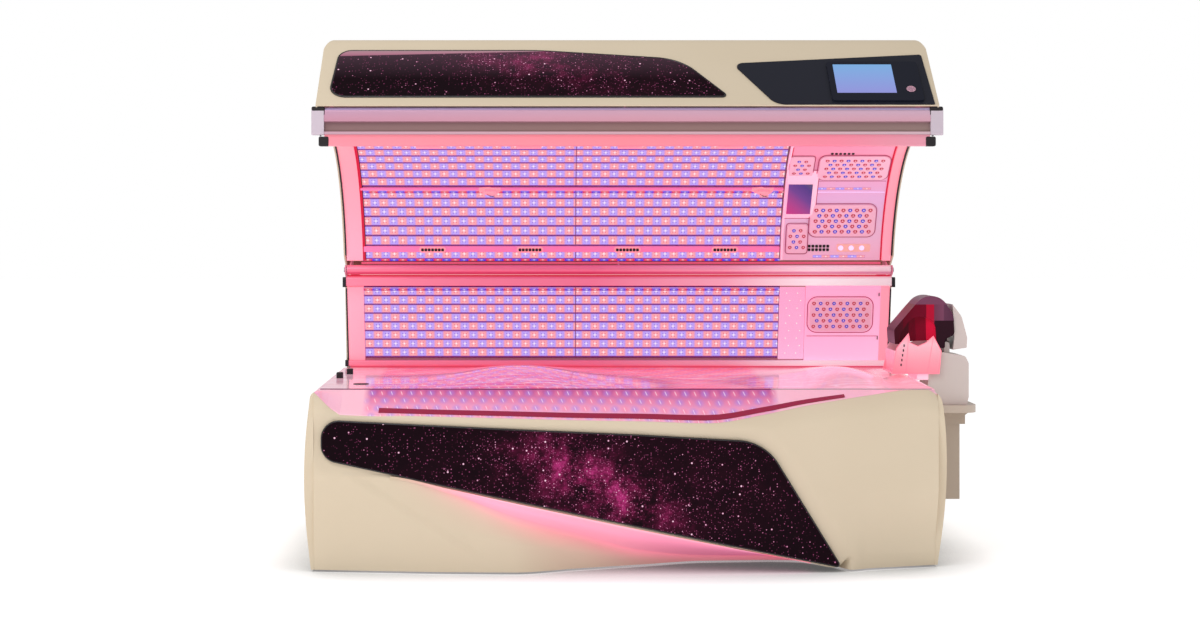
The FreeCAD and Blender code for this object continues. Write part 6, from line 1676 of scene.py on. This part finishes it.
# %% [markdown]
# Both screens show a plain run of colour behind glass, without any lettering. The other plastics, rubbers and
# coated steels are one colour each, with a fine grain in their gloss. The frames' white steel is painted pink
# with the lamps' light and glows, and the grip rubber glows faintly with painted lamp light.


# %% Display, button and the remaining plastics
def display_glass(name, stops, direction, span, glow):
    """Glass over a lit screen: a plain gradient along one direction, with no lettering."""
    finish, shader, add = new_finish(name, {"Roughness": 0.1, "IOR": 1.5, "Specular IOR Level": 0.25})
    place = add("TexCoord", {}, "Object")
    run = add("VectorMath DOT_PRODUCT", [place, direction], "Value")
    run = add("MapRange", {"From Min": span[0], "From Max": span[1], "Value": run})
    colour = add("ValToRGB", {"stops": stops, "Fac": run})
    set_up(shader, {"Base Color": BLACK, "Emission Color": colour, "Emission Strength": glow})
    return finish


low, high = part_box("display_screen")
foot = FASCIA_RISE.dot(Vector((0, low.y, low.z)))
head = FASCIA_RISE.dot(Vector((0, high.y, high.z)))
screen_stops = [(0.0, "8f92d8"), (0.5, "859fdc"), (1.0, "78abde")]
screen_glass = display_glass("display_screen_glass", screen_stops, tuple(FASCIA_RISE), (foot, head), 1.0)
low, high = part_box("inner_display")
slope = Vector((0.6, 0, 0.8))
inner_glass = display_glass(
    "inner_display_glass",
    [(0.0, "e0408c"), (0.3, "b84a96"), (0.55, "7c4a9c"), (0.8, "5a4290"), (1.0, "66606e")],
    tuple(slope),
    (slope.dot(low), slope.dot(high)),
    0.85,
)
mirror_pink = plain("anodised_reflector", "7a1f6e", 0.3, 0.5)
zinc = plain("zinc_plated_steel", "aeb0b3", 0.35, 1.0)
grey_steel = plain("grey_powder_coated_steel", "5a5c60", 0.55)
# White steel, painted pink with lamp light and a glow.
lit_steel = plain("white_powder_coated_steel", "d07c92", 0.5, glow=0.25)
black_abs = plain("black_abs", "17121a", 0.35)
black_epdm = plain("black_epdm_gasket", "22101a", 0.6)
fascia_abs = plain("dark_satin_abs", "24252f", 0.3, specular=0.08)
bezel_abs = plain("dark_gloss_bezel", "1c1e2a", 0.15, specular=0.08)
# A faint glow of painted lamp light.
grip_rubber = plain("crimson_grip_rubber", "98203f", 0.5, glow=0.05)
tower_abs = plain("warm_grey_abs", "d6c9c4", 0.35)
tray_abs = plain("warm_grey_tray_abs", "c6b6a8", 0.4)
post_coat = plain("warm_grey_powder_coat", "b8a899", 0.5)
fan_nylon = plain("black_glass_filled_nylon", "1d1f22", 0.5)
button_abs = plain("button_abs", "a67a90", 0.3)
cap_abs = plain("pale_grey_abs", "c9bac6", 0.35)
print("finishes:", len(bpy.data.materials))

# %% [markdown]
# Every CAD node gets one finish. The table lists the nodes under each finish, so a change of material
# is one line here, and a node without a finish would show in the print at the end.

# %% Give every CAD node its finish
FINISHES = {
    cream_abs: "front_skirt left_end_panel right_end_panel wall_rear_shell canopy_top_shell",
    skirt_sky: "skirt_insert",
    canopy_sky: "canopy_insert",
    coral_abs: "skirt_glow_panel air_outlets mist_nozzles",
    face_board: "bench_led_strips wall_led_strips canopy_led_strips",
    grey_steel: "base_frame base_rear_panel",
    lit_steel: "wall_frame canopy_frame",
    zinc: "levelling_feet hinge_pin lift_rods",
    fan_nylon: "fan_housing fan_rotor mains_gland",
    silver: "bench_tray led_drivers lift_cylinders",
    bench_clear: "bench_acrylic",
    apron_clear: "bench_front_flange",
    grip_rubber: "entry_edge_strip",
    mirror_pink: "wall_reflector canopy_reflector",
    clear_acrylic: "wall_acrylic canopy_acrylic",
    cheek_acrylic: "wall_cheeks canopy_cheeks",
    wall_panel: "wall_head_panel",
    canopy_panel: "canopy_head_panel",
    array_plate: "wall_face_array canopy_face_arrays",
    pink_rail: "wall_top_profile wall_bottom_profile canopy_hinge_barrel",
    lip_metal: "canopy_lip",
    bar_pink: "canopy_service_bars",
    rail_metal: "grip_rail",
    cap_abs: "rail_end_caps",
    black_abs: "wall_black_trim",
    black_epdm: "canopy_seals",
    fascia_abs: "control_fascia",
    bezel_abs: "display_bezel",
    screen_glass: "display_screen",
    inner_glass: "inner_display",
    button_abs: "start_button",
    post_coat: "tower_post",
    tray_abs: "tower_tray",
    tower_abs: "nozzle_pedestal nozzle_shroud",
    cradle_pc: "nozzle_cradle",
    hood_tiles: "nozzle_hood",
}
dressed = set()
for finish, names in FINISHES.items():
    for name in names.split():
        mesh = cad_nodes[name].data
        mesh.materials.clear()
        mesh.materials.append(finish)
        dressed.add(name)
print("nodes without a finish:", sorted(set(cad_nodes) - dressed))

# %% [markdown]
# CAD surfaces come as flat facets. Where neighbouring facets meet at a small angle they belong to
# one curved face, so those edges are shaded smooth and the real corners stay sharp.

# %% Smooth the curved CAD faces
for name in cad_nodes:
    mesh = cad_nodes[name].data
    mesh.polygons.foreach_set("use_smooth", [True] * len(mesh.polygons))
    mesh.set_sharp_from_angle(angle=math.radians(24))
print("smoothed:", len(cad_nodes), "nodes")
